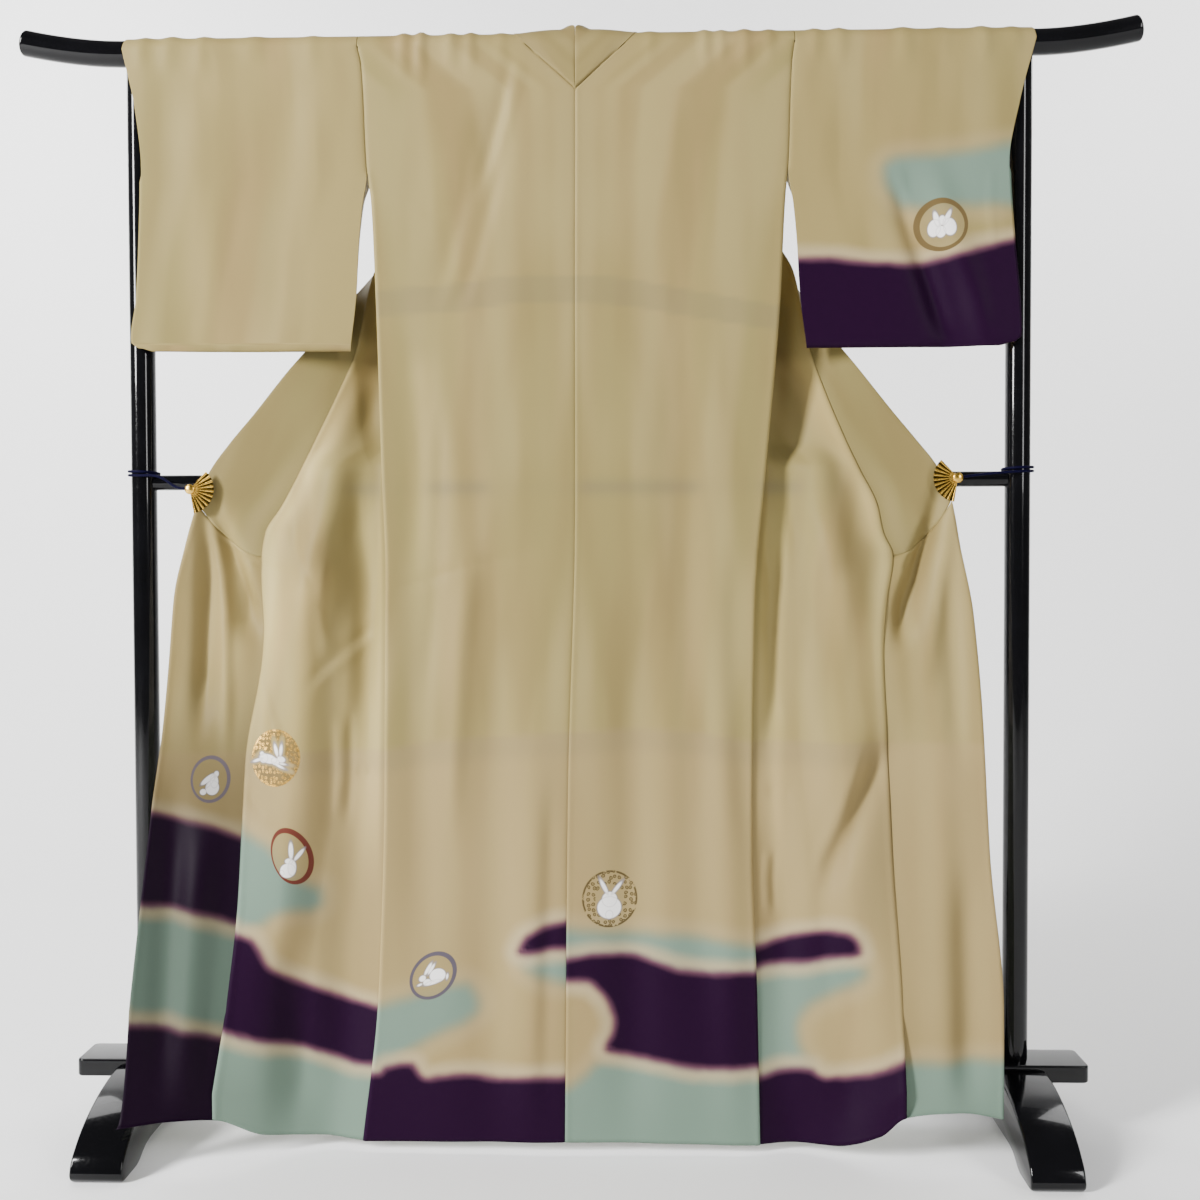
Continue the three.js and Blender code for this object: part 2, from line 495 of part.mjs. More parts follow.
// One sleeve: a tube over the rail, closed along its bottom and along its outer edge below the cuff.
function sleeve(side) {
  const rowAt = (z, far) => {
    const hang = (name) => read(SLEEVE_HANG, "z", name, z);
    const inner = backSide(side, Math.max(z, 1425)).out + hang("past");
    const cuffOut = read(side.cuff, "z", "out", z);
    const outer = far && z > SLEEVE.cuffBottom ? hang("farOut") : cuffOut;
    return SLEEVE_ACROSS.map((u) => {
      const pinch = ease(far ? 0.5 : 0.7, 0.92, u);
      const y = far ? mix(hang("farY"), hang("edgeFarY"), pinch) : mix(hang("nearY"), hang("edgeNearY"), pinch);
      const x = side.sign * mix(inner, outer, u);
      const fold = foldDepth(x, z) * (1 - ease(0.82, 0.92, u)) * ease(0, 0.12, u);
      return new THREE.Vector3(x, y + (far ? 0.5 * fold : fold), z);
    });
  };
  const near = SLEEVE_LEVELS.map((z) => rowAt(z, false));
  const far = SLEEVE_LEVELS.map((z) => rowAt(z, true));
  const top = [];
  for (let i = 1; i < WRAP_STEPS * 2; i += 1) {
    const angle = (Math.PI / 2) * (i / WRAP_STEPS);
    const share = i / (WRAP_STEPS * 2);
    top.push(near[0].map((p, c) => new THREE.Vector3(
      mix(p.x, far[0][c].x, share), -WRAP_RADIUS * Math.cos(angle), RAIL.z + WRAP_RADIUS * Math.sin(angle))));
  }
  const last = SLEEVE_LEVELS.length - 1;
  const crest = near[last].map((p, c) => new THREE.Vector3(
    p.x - side.sign * 8 * ease(0.9, 1, SLEEVE_ACROSS[c]),
    (p.y + far[last][c].y) / 2,
    SLEEVE.bottom + 5 * ease(0.9, 1, SLEEVE_ACROSS[c])));
  const ring = [...near.slice().reverse(), ...top, ...far];
  const across = SLEEVE_ACROSS.length;
  const points = [...ring.flat(), ...crest];
  const quads = [];
  const addQuad = (quad) => quads.push(side.sign < 0 ? quad : quad.slice().reverse());
  const index = (r, c) => r * across + c;
  for (let r = 0; r < ring.length; r += 1) {
    for (let c = 0; c + 1 < across; c += 1) {
      addQuad([index(r, c), index(r, c + 1), index((r + 1) % (ring.length + 1), c + 1), index((r + 1) % (ring.length + 1), c)]);
    }
  }
  for (let c = 0; c + 1 < across; c += 1) {
    addQuad([index(ring.length, c), index(ring.length, c + 1), index(0, c + 1), index(0, c)]);
  }
  // The sewn outer edge below the cuff, as a rounded fold between the two sheets.
  const cuffRow = SLEEVE_LEVELS.indexOf(SLEEVE.cuffBottom);
  const foldPoints = [];
  for (let i = cuffRow; i <= last; i += 1) {
    const a = near[i][across - 1];
    const b = far[i][across - 1];
    foldPoints.push(points.length);
    points.push(new THREE.Vector3((a.x + b.x) / 2 + side.sign * SLEEVE.foldRadius, (a.y + b.y) / 2, a.z));
  }
  const nearIndex = (i) => index(last - i, across - 1);
  const farIndex = (i) => index(near.length + top.length + i, across - 1);
  for (let i = cuffRow; i < last; i += 1) {
    const k = i - cuffRow;
    addQuad([nearIndex(i), foldPoints[k], foldPoints[k + 1], nearIndex(i + 1)].reverse());
    addQuad([foldPoints[k], farIndex(i), farIndex(i + 1), foldPoints[k + 1]].reverse());
  }
  const corner = index(ring.length, across - 1);
  const lastFold = foldPoints[foldPoints.length - 1];
  addQuad([nearIndex(last), lastFold, corner, corner].reverse());
  addQuad([lastFold, farIndex(last), corner, corner].reverse());
  return thicken(points, quads, CLOTH);
}

// A closed three.js shape as a solid that can be cut.
function solid(geometry) {
  const bare = geometry.index ? geometry.toNonIndexed() : geometry.clone();
  bare.deleteAttribute("normal");
  bare.deleteAttribute("uv");
  const merged = mergeVertices(bare, 1e-4);
  return new wasm.Manifold(new wasm.Mesh({
    numProp: 3,
    vertProperties: new Float32Array(merged.attributes.position.array),
    triVerts: new Uint32Array(merged.index.array),
  }));
}

function geometryOf(manifold) {
  const mesh = manifold.getMesh();
  const geometry = new THREE.BufferGeometry();
  geometry.setAttribute("position", new THREE.BufferAttribute(new Float32Array(mesh.vertProperties), 3));
  geometry.setIndex(new THREE.BufferAttribute(new Uint32Array(mesh.triVerts), 1));
  return geometry;
}

function rod(radius, length, axis, x, y, z, sides = 24) {
  const geometry = new THREE.CylinderGeometry(radius, radius, length, sides);
  if (axis === "x") geometry.rotateZ(Math.PI / 2);
  if (axis === "z") geometry.rotateX(Math.PI / 2);
  geometry.translate(x, y, z);
  return geometry;
}

// A tube along a smooth curve, with flat closed ends.
function tube(points, radius, sides, steps) {
  const circle = new THREE.Shape();
  for (let i = 0; i < sides; i += 1) {
    const angle = (2 * Math.PI * i) / sides;
    if (i === 0) circle.moveTo(radius, 0);
    else circle.lineTo(radius * Math.cos(angle), radius * Math.sin(angle));
  }
  const path = new THREE.CatmullRomCurve3(points, false, "centripetal");
  return new THREE.ExtrudeGeometry(circle, { steps, bevelEnabled: false, extrudePath: path });
}

// The top rail: a round bar whose two ends turn up.
function topRail() {
  const stations = [RAIL.half, 818, 795, 765, 730, RAIL.riseFrom, 300];
  const along = [...stations, ...stations.slice().reverse().map((s) => -s)];
  const steps = along.length - 1;
  const geometry = new THREE.CylinderGeometry(RAIL.radius, RAIL.radius, steps, RAIL.sides, steps);
  const position = geometry.attributes.position;
  for (let i = 0; i < position.count; i += 1) {
    const x = along[Math.round(steps / 2 - position.getY(i))];
    const share = Math.max(0, (Math.abs(x) - RAIL.riseFrom) / (RAIL.half - RAIL.riseFrom));
    position.setXYZ(i, x, -position.getX(i), RAIL.z + position.getZ(i) + RAIL.rise * share ** 1.7);
  }
  return geometry;
}

// A post, from the board's top up to a saddle under the rail.
function post(sign) {
  const bottom = BOARD.top + GAP;
  const top = RAIL.z - 6;
  const body = solid(rod(POST.radius, top - bottom, "z", sign * POST.x, 0, (top + bottom) / 2));
  const saddle = solid(rod(RAIL.radius + GAP, 120, "x", sign * POST.x, 0, RAIL.z, 2 * RAIL.sides));
  return geometryOf(body.subtract(saddle));
}

// The middle rail, its ends hollowed to fit the posts.
function midRail() {
  const body = solid(rod(MID_RAIL.radius, 2 * (POST.x - 8), "x", 0, 0, MID_RAIL.z));
  const left = solid(rod(POST.radius + GAP, 80, "z", -POST.x, 0, MID_RAIL.z));
  const right = solid(rod(POST.radius + GAP, 80, "z", POST.x, 0, MID_RAIL.z));
  return geometryOf(body.subtract(left).subtract(right));
}

// The board across the feet, its corners and edges rounded.
function board() {
  const half = BOARD.half - BOARD.bevel;
  const deep = BOARD.depth / 2 - BOARD.bevel;
  const r = BOARD.corner;
  const outline = new THREE.Shape();
  outline.moveTo(-half + r, -deep);
  outline.lineTo(half - r, -deep);
  outline.absarc(half - r, -deep + r, r, -Math.PI / 2, 0, false);
  outline.lineTo(half, deep - r);
  outline.absarc(half - r, deep - r, r, 0, Math.PI / 2, false);
  outline.lineTo(-half + r, deep);
  outline.absarc(-half + r, deep - r, r, Math.PI / 2, Math.PI, false);
  outline.lineTo(-half, -deep + r);
  outline.absarc(-half + r, -deep + r, r, Math.PI, 1.5 * Math.PI, false);
  const geometry = new THREE.ExtrudeGeometry(outline, {
    depth: BOARD.thickness - 2 * BOARD.bevel, bevelEnabled: true, bevelThickness: BOARD.bevel,
    bevelSize: BOARD.bevel, bevelSegments: 2, curveSegments: 4,
  });
  geometry.translate(0, 0, BOARD.top - BOARD.thickness + BOARD.bevel);
  return geometry;
}

// A foot: arched underneath, sloping down to a rounded toe front and back, notched for the board.
function foot(sign) {
  const inset = FOOT.bevel;
  const notch = BOARD.depth / 2 + GAP + inset;
  const seat = BOARD.top - BOARD.thickness - GAP - inset;
  const outline = new THREE.Shape();
  const pad = FOOT.half - FOOT.toe;
  outline.moveTo(-pad, inset);
  outline.lineTo(-FOOT.padFrom, inset);
  outline.lineTo(-128, FOOT.archZ - 5);
  outline.lineTo(-92, FOOT.archZ + inset);
  outline.lineTo(92, FOOT.archZ + inset);
  outline.lineTo(128, FOOT.archZ - 5);
  outline.lineTo(FOOT.padFrom, inset);
  outline.lineTo(pad, inset);
  for (const p of FOOT_TOP.slice().reverse()) outline.lineTo(Math.max(p.y - inset, notch), p.z - inset * 0.6);
  outline.lineTo(notch, seat);
  outline.lineTo(-notch, seat);
  for (const p of FOOT_TOP) outline.lineTo(-Math.max(p.y - inset, notch), p.z - inset * 0.6);
  const geometry = new THREE.ExtrudeGeometry(outline, {
    depth: FOOT.width - 2 * FOOT.bevel, bevelEnabled: true, bevelThickness: FOOT.bevel,
    bevelSize: FOOT.bevel, bevelSegments: 2, curveSegments: 4,
  });
  geometry.translate(0, 0, -(FOOT.width - 2 * FOOT.bevel) / 2);
  geometry.rotateY(Math.PI / 2);
  geometry.rotateX(Math.PI / 2);
  geometry.translate(sign * POST.x, 0, 0);
  return geometry;
}

// The folding fan of a clip, its ribs raised, in a plane facing the viewer.
function fan(sign, backY) {
  const points = [];
  const steps = FAN.ribs * 2;
  for (let i = 0; i <= steps; i += 1) {
    const angle = ((FAN.from + ((FAN.to - FAN.from) * i) / steps) * Math.PI) / 180;
    const height = FAN.plate + (i % 2 === 1 ? FAN.ridge : 0);
    const reach = FAN.outer - (i % 2 === 1 ? 0 : 1.6);
    for (const [radius, y] of [[FAN.inner, backY], [reach, backY], [reach, backY - height], [FAN.inner, backY - height]]) {
      points.push(-sign * radius * Math.cos(angle), y, radius * Math.sin(angle));
    }
  }
  const faces = [];
  const quad = (a, b, c, d) => {
    if (sign > 0) faces.push(a, b, c, a, c, d);
    else faces.push(a, c, b, a, d, c);
  };
  for (let i = 0; i < steps; i += 1) {
    for (let k = 0; k < 4; k += 1) {
      const next = (k + 1) % 4;
      quad(4 * i + k, 4 * i + next, 4 * (i + 1) + next, 4 * (i + 1) + k);
    }
  }
  quad(3, 2, 1, 0);
  quad(4 * steps, 4 * steps + 1, 4 * steps + 2, 4 * steps + 3);
  const geometry = new THREE.BufferGeometry();
  geometry.setAttribute("position", new THREE.Float32BufferAttribute(points, 3));
  geometry.setIndex(faces);
  return geometry;
}

// A clip: the fan before the cloth, a plain jaw behind it, and the barrel that joins them.
function clip(side) {
  const end = edgeAt(side.collar, END_LEVEL);
  const frontY = end.y - CLOTH / 2 - 4 * GAP;
  const jawY = -21.5;
  const { out, z } = side.clip;
  const front = solid(fan(side.sign, frontY));
  const barrelFront = frontY - FAN.plate - 1.6;
  const barrelBack = jawY + 1.6;
  const barrel = solid(rod(FAN.barrel + 3.4, barrelBack - barrelFront, "y", 0, (barrelBack + barrelFront) / 2, 0, 16));
  const jaw = new THREE.BoxGeometry(FAN.jaw, 1.6, 12);
  jaw.translate((-side.sign * FAN.jaw) / 2, jawY + 0.8, 0);
  const joined = front.add(barrel).add(solid(jaw));
  const geometry = geometryOf(joined);
  geometry.translate(side.sign * out, 0, z);
  return geometry;
}

// The tie cord: from the clip's barrel to the post, and once and a half round it above the middle rail.
function tieCord(side) {
  const lay = POST.radius + 4 * GAP + CORD.diameter / 2;
  const barrelX = side.clip.out + FAN.barrel + 3.4 + GAP;
  const points = [
    { out: barrelX, y: -29, z: side.clip.z + 1 },
    { out: barrelX + 12, y: -28.4, z: side.clip.z + 3 },
    { out: POST.x - 30, y: -25, z: 983 },
  ];
  for (let turn = 0; turn <= 12; turn += 1) {
    const angle = -Math.PI / 2 + (turn * Math.PI) / 4;
    points.push({ out: POST.x + lay * Math.cos(angle), y: lay * Math.sin(angle), z: 985 + turn * 0.72 });
  }
  const path = points.map((p) => new THREE.Vector3(side.sign * p.out, p.y, p.z));
  return tube(path, CORD.diameter / 2, CORD.sides, 30);
}

add("top_rail", topRail(), BLACK);
add("mid_rail", midRail(), BLACK);
add("base_board", board(), BLACK);
for (const [name, side] of Object.entries(SIDES)) {
  add(`post_${name}`, post(side.sign), BLACK);
  add(`foot_${name}`, foot(side.sign), BLACK);
  add(`back_${name}`, backPanel(side), SILK);
  add(`front_${name}`, frontPanel(side), SILK);
  add(`okumi_${name}`, okumi(side), SILK);
  add(`collar_${name}`, collar(side), SILK);
  add(`sleeve_${name}`, sleeve(side), SILK);
  add(`clip_${name}`, clip(side), GOLD);
  add(`tie_cord_${name}`, tieCord(side), NAVY);
}

export default object;
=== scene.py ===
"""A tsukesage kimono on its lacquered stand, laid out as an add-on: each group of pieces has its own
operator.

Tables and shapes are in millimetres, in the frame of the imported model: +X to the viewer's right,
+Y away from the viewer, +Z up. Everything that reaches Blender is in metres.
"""
import math

import bmesh
import bpy
import numpy as np
from mathutils import Matrix, Vector


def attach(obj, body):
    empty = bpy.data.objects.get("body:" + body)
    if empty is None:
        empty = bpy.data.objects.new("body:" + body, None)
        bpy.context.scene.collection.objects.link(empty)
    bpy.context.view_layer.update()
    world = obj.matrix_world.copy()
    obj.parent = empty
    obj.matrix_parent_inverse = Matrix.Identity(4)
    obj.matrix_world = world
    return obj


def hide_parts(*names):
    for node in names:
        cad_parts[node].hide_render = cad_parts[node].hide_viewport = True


bl_info = {
    "name": "Tsukesage kimono on a stand",
    "version": (1, 0, 0),
    "blender": (4, 5, 0),
    "location": "3D View > Sidebar > Kimono",
    "description": "Builds a hung silk kimono, its lacquered stand and its fan clips",
    "category": "Add Mesh",
}

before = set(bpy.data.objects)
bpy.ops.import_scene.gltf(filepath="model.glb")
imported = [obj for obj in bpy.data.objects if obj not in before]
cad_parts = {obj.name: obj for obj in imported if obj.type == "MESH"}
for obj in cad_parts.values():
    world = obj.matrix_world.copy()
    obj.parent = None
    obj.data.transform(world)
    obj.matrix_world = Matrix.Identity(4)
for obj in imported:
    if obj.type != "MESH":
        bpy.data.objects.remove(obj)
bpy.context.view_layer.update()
MM = 0.001
DETAIL = 1.0

# Clearances and the cloth's own lap, as in the solid model.
GAP = 0.3
LAP = 2.4

# The stand. RAIL_STEPS are the places outward at which the top rail's line is bent, and FOOT_TOP is the
# upper outline of half a foot: y, z.
RAIL = {"radius": 19, "z": 1618, "half": 831, "rise_from": 684, "rise": 19}
RAIL_STEPS = (824, 818, 808, 795, 780, 765, 748, 730, 707, RAIL["rise_from"], 560, 300)
POST = {"x": 656, "radius": 18.5}
MID_RAIL = {"radius": 11.5, "z": 975}
BOARD = {"half": 757, "depth": 70, "top": 106, "thickness": 26, "corner": 9, "bevel": 3}
FOOT = {"width": 74, "bevel": 5, "pad_from": 158, "arch": 18}
FOOT_TOP = ((36, 98), (62, 95.5), (103, 88), (139, 76), (170, 61), (196, 42), (211, 26), (216, 12))

# The garment's main lines, as heights and distances outward. WRAP is the radius at which the cloth
# bends over the rail, SLIT half the gap between the collar's halves, ARMHOLE the short stretch in which
# the sleeve's seam ends, and FOLD_SHARES the places of the points round the sleeve's sewn outer fold.
NECK = {"half": 74, "dip": 1551, "tip": 7, "rise": 3.5}
SLEEVE = {"bottom": 1169, "cuff_bottom": 1430, "fold_from": 1182, "fold_radius": 3.4}
FOLD_SHARES = (0.25, 0.5, 0.75)
WRAP = RAIL["radius"] + GAP + 1
COLLAR_END = 861
SLIT = 0.1
ARMHOLE = (1425, 1435)

# Rows of points stand closer together above FINE_FROM and at both edges of a panel. They follow the
# hem's line below HEM_FROM, where the tables still run on to their own last heights. Puckers lie above
# PUCKER_FROM.
FINE_FROM = 1480
PUCKER_FROM = 1500
HEM_FROM = 210
BODY_TABLE_END = 10
OKUMI_TABLE_END = 60
EDGE_STEPS = (0.9, 2.0, 3.4, 5.2, 7.6)

# The hem's height across the garment: x, z.
HEM = (
    (-640, 66), (-575, 69), (-514, 64), (-446, 31), (-380, 20), (-310, 14), (-150, 15), (0, 16),
    (265, 13), (364, 15), (432, 41), (466, 72), (540, 79), (610, 69),
)

# The centre back seam: z, x, y.
CENTRE = (
    (10, -16, -104), (506, -12, -72), (944, -1, -45), (1239, -1, -31), (1500, 0, -24), (1618, 0, -WRAP),
)

# What differs between the two sides, by distance outward from the middle.
# back: z, out, y of the back's side edge. seam: z, out, y of the long seam with collar and okumi.
# collar: z of the seam, then out, y, height and sag of the free edge beside it. okumi: the same.
# cuff: z, out of the sleeve's outer edge. clip: out, z of its hinge.
LEFT = {
    "name": "left",
    "sign": -1,
    "back": (
        (10, 310, -100), (216, 289, -86), (540, 281, -68), (827, 281, -51), (990, 287, -43),
        (1257, 297, -28), (1390, 303, -25), (1435, 309, -24), (1590, 317, -21.5), (1618, 323, -WRAP),
    ),
    "seam": (
        (60, 514, -150), (220, 500, -126), (366, 489, -102), (564, 486, -70), (724, 466, -46),
        (861, 471, -28), (899, 466, -24), (937, 443, -20), (990, 415, -17), (1032, 395, -10),
        (1105, 363, 6), (1177, 338, 24), (1235, 328, 36), (1293, 316, 48), (1335, 297, 58),
        (1400, 262, 64), (1480, 208, 64), (1553, 150, 49), (1618, 92, WRAP),
    ),
    "collar": (
        (861, 566, -32, 942, -18), (899, 560, -29, 968, -8), (937, 546, -25, 994, 0),
        (990, 518, -19, 1034, 0), (1032, 487, -11, 1074, 0), (1105, 438, 1, 1140, 0),
        (1177, 390, 18, 1200, 0), (1235, 358, 48, 1248, 0), (1293, 322, 80, 1300, 0),
        (1335, 285, 84, 1341, 0), (1400, 234, 86, 1404, 0), (1480, 168, 82, 1483, 0),
        (1553, 112, 57, 1555, 0), (1618, 50, WRAP + LAP, 1618, 0),
    ),
    "okumi": (
        (60, 636, -190, 66), (220, 630, -151, 230), (366, 622, -121, 385), (460, 617, -97, 490),
        (564, 606, -74, 610), (640, 601, -61, 700), (724, 597, -47, 800), (800, 582, -38, 880),
        (861, 567, -32, 942),
    ),
    "cuff": (
        (1160, 645), (1172, 656), (1188, 661), (1246, 653), (1330, 648), (1430, 645), (1527, 655),
        (1618, 675),
    ),
    "clip": (575, 963),
}
RIGHT = {
    "name": "right",
    "sign": 1,
    "back": (
        (10, 265, -100), (219, 262, -88), (434, 256, -74), (797, 262, -53), (990, 279, -43),
        (1237, 301, -29), (1390, 309, -25), (1435, 313, -24), (1590, 319, -21.5), (1618, 323, -WRAP),
    ),
    "seam": (
        (60, 466, -145), (230, 465, -118), (423, 457, -88), (593, 454, -62), (708, 451, -46),
        (796, 458, -35), (861, 468, -28), (896, 454, -24), (936, 446, -20), (990, 420, -17),
        (1032, 401, -10), (1105, 373, 6), (1177, 351, 24), (1235, 341, 36), (1297, 329, 48),
        (1335, 310, 58), (1400, 270, 64), (1480, 211, 64), (1553, 150, 49), (1618, 92, WRAP),
    ),
    "collar": (
        (861, 551, -32, 942, -22), (899, 543, -29, 968, -9), (937, 531, -25, 994, 0),
        (990, 501, -19, 1034, 0), (1032, 470, -11, 1074, 0), (1105, 421, 1, 1140, 0),
        (1177, 377, 18, 1200, 0), (1235, 349, 48, 1248, 0), (1293, 323, 80, 1300, 0),
        (1335, 288, 84, 1341, 0), (1400, 236, 86, 1404, 0), (1480, 169, 82, 1483, 0),
        (1553, 112, 57, 1555, 0), (1618, 50, WRAP + LAP, 1618, 0),
    ),
    "okumi": (
        (60, 602, -140, 69), (230, 606, -123, 235), (423, 592, -98, 440), (593, 588, -72, 630),
        (708, 580, -50, 775), (796, 562, -38, 880), (861, 552, -32, 942),
    ),
    "cuff": (
        (1160, 638), (1172, 647), (1188, 651), (1246, 648), (1330, 640), (1430, 634), (1527, 651),
        (1618, 675),
    ),
    "clip": (560, 975),
}
SIDES = (LEFT, RIGHT)

# The front's side edge behind the rail: z, y.
FRONT_SIDE_Y = ((1250, -26), (1335, -10), (1425, 6), (1500, 14), (1618, WRAP))

# How a front hangs between its side edge and its long seam: z, then out and y of three guide lines.
FRONT_FOLDS = (
    (10, 45, -88, 95, -102, 150, -128), (220, 47, -72, 98, -90, 152, -118),
    (366, 41, -62, 88, -78, 145, -106), (564, 31, -50, 70, -58, 132, -86),
    (724, 24, -36, 60, -44, 118, -66), (861, 18, -24, 53, -28, 110, -46),
    (937, 11, -22, 40, -17.5, 82, -27), (990, 5, -21, 33, -17, 72, -20),
    (1032, -13, -18, 2, 6, 46, 8), (1105, -29, -12, -29, 14, 12, 26),
    (1177, -44, -6, -62, 22, -22, 40), (1235, -52, 4, -76, 28, -40, 50),
    (1293, -58, 10, -90, 34, -62, 58), (1335, -60, 12, -100, 36, -82, 60),
    (1400, -62, 15, -106, 36, -100, 58), (1480, -66, 22, -118, 36, -138, 54),
    (1553, -56, 26, -108, 38, -146, 46), (1618, -58, WRAP, -116, WRAP, -174, WRAP),
)

# How a sleeve hangs: z, past the body's edge, near y, far y, near edge's y, far edge's out, far edge's y.
SLEEVE_HANG = (
    (1160, 30, -20, -8, -28, 650, -21.4), (1250, 18, -24, -3, -28.4, 653, -21.6),
    (1330, 13, -25, 0, -28.4, 648, -21.6), (1380, 8, -25, 3, -28.2, 646, -21.6),
    (1430, 0.7, -24, 6.6, -28, 644, -21.8), (1462, 0.7, -23.6, 10, -26, 630, -12),
    (1500, 0.7, -23, 14, -24, 627, 2), (1550, 0.7, -22, 16.6, -22.4, 631, 14),
    (1590, 0.7, -21.5, 18.8, -21.5, 650, 20.8), (1618, 0.7, -WRAP, WRAP, -WRAP, 664, WRAP),
)

# The main folds, as in the solid model: x1, z1, x2, z2, width, depth away from the viewer.
FOLDS = (
    (-88, 1600, -205, 1230, 30, 5), (-236, 1150, -226, 260, 34, 7), (-118, 900, -128, 20, 38, 6),
    (-60, 640, -66, 20, 30, -5), (92, 860, 78, 20, 36, 8), (150, 1180, 186, 200, 36, 6),
    (214, 760, 226, 20, 28, -5), (-372, 820, -352, 420, 26, 6), (-420, 330, -402, 40, 30, 8),
    (452, 610, 352, 380, 26, 9), (330, 520, 322, 40, 28, -7), (404, 320, 396, 40, 26, 8),
    (-551, 905, -548, 620, 17, 9), (-538, 905, -480, 735, 19, 11), (-588, 560, -584, 110, 24, 8),
    (-540, 480, -556, 80, 24, -7), (524, 905, 474, 735, 19, 12), (546, 880, 556, 560, 18, 7),
    (520, 600, 528, 90, 24, -6), (562, 420, 556, 90, 24, 9), (478, 1420, 566, 1172, 22, 9),
    (520, 1440, 606, 1180, 20, -4), (-430, 1580, -448, 1180, 36, 4), (-556, 1560, -540, 1190, 34, -4),
    (-335, 1120, -405, 740, 32, -13), (340, 1120, 395, 740, 32, -12), (-318, 930, -312, 600, 20, 8),
    (296, 900, 290, 600, 18, 7),
)
FULLNESS = 1.3
FOLD_TOP = 1600
FOLD_FADE = 90

# Finer creases placed one by one: kind, width, depth, then the points that the crease follows.
# A trough or ridge is "soft" or "sharp"; a "step" has its ridge on the left of its travel and its
# trough on the right.
CREASES = (
    ("step", 8, 2.6, ((-84, 1612), (-104, 1520), (-124, 1450), (-150, 1370))),
    ("soft", 12, -3.0, ((-136, 1500), (-148, 1400), (-176, 1290), (-205, 1200))),
    ("soft", 10, 2.4, ((-112, 1500), (-122, 1400), (-150, 1290), (-180, 1210))),
    ("sharp", 5, 2.6, ((-281, 813), (-215, 830), (-156, 849), (-97, 859), (-45, 864))),
    ("sharp", 4, 1.2, ((-232, 1372), (-206, 1370), (-186, 1376))),
    ("sharp", 5, 3.2, ((-423, 930), (-418, 880), (-392, 834), (-380, 806))),
    ("sharp", 5, 2.6, ((-505, 868), (-474, 853), (-448, 841), (-395, 832))),
    ("sharp", 4, 2.0, ((-300, 822), (-288, 818), (-276, 812))),
    ("step", 7, 1.7, ((-284, 768), (-326, 732), (-372, 692), (-400, 650))),
    ("soft", 16, 5.0, ((-324, 1200), (-318, 1094), (-308, 1010))),
    ("soft", 9, -6.0, (
        (-552, 990), (-546, 920), (-538, 883), (-529, 831), (-521, 780), (-515, 640), (-512, 540))),
    ("soft", 12, 9.0, ((-560, 1010), (-540, 917), (-523, 883), (-501, 831), (-478, 780), (-462, 690))),
    ("soft", 12, 8.0, ((-560, 1010), (-556, 920), (-555, 883), (-554, 831), (-554, 700), (-556, 560))),
    ("soft", 13, 10.0, ((548, 1010), (530, 931), (520, 887), (504, 830), (486, 780), (462, 700))),
    ("soft", 14, -5.0, ((548, 980), (545, 900), (535, 820), (520, 740), (505, 640))),
    ("soft", 9, -4.0, ((515, 935), (500, 880), (482, 846), (470, 800))),
    ("soft", 14, 6.0, ((455, 600), (412, 507), (382, 436), (362, 370))),
    ("soft", 12, -5.0, ((425, 600), (385, 500), (352, 420), (340, 350))),
    ("soft", 10, -4.0, ((-366, 880), (-372, 790), (-368, 690))),
    ("sharp", 6, 2.6, ((-380, 800), (-366, 780), (-362, 740))),
    ("soft", 16, -5.0, ((-150, 900), (-166, 760), (-178, 600), (-184, 420))),
    ("soft", 14, 4.0, ((-196, 1120), (-200, 960), (-208, 800), (-222, 620))),
    ("soft", 12, 3.5, ((-36, 560), (-40, 380), (-44, 200), (-46, 30))),
    ("soft", 20, 5.0, ((236, 900), (232, 700), (240, 520), (246, 400))),
    ("soft", 8, -3.0, ((-470, 700), (-452, 640), (-440, 610), (-420, 520))),
    ("sharp", 6, 2.5, ((-484, 524), (-470, 506), (-450, 480))),
    ("soft", 9, -3.5, ((-352, 640), (-350, 540), (-356, 460))),
    ("soft", 7, 3.0, ((-336, 650), (-334, 540), (-340, 450))),
    ("sharp", 7, 2.4, ((-330, 545), (-312, 540), (-296, 548))),
    ("sharp", 7, 2.0, ((276, 512), (292, 516), (318, 506))),
    ("soft", 8, -4.0, ((272, 860), (276, 810), (274, 770))),
    ("sharp", 6, 2.2, ((276, 760), (288, 752), (300, 754))),
    ("sharp", 5, 3.0, ((520, 925), (501, 887), (485, 846), (467, 832))),
    ("step", 9, 3.6, ((530, 931), (520, 887), (505, 838), (487, 796), (464, 738))),
    ("sharp", 4, 2.0, ((485, 872), (467, 860), (452, 862))),
    ("step", 12, 4.5, ((478, 1424), (488, 1382), (500, 1345), (528, 1265), (566, 1150))),
    ("soft", 8, -2.6, ((470, 1440), (481, 1404), (494, 1368), (512, 1300))),
    ("soft", 5, -1.6, ((610, 1440), (608, 1380), (612, 1300))),
    ("soft", 6, -2.2, ((280, 440), (276, 390), (279, 330))),
    ("soft", 5, 1.8, ((292, 440), (288, 390), (291, 330))),
)

# Painted highlights, where a fold's crest catches the light: width, strength, then the points it follows.
PAINTED_HIGHLIGHTS = (
    (30, 0.5, ((-384, 860), (-392, 740), (-400, 620), (-398, 500), (-392, 380))),
    (17, 0.4, ((-524, 960), (-516, 860), (-511, 760), (-507, 660), (-508, 540))),
    (22, 0.12, ((520, 700), (524, 560), (530, 420), (536, 260))),
    (24, 0.4, ((395, 860), (400, 740), (408, 600), (414, 480))),
    (20, 0.3, ((-232, 1180), (-228, 1040), (-236, 880), (-246, 700))),
)
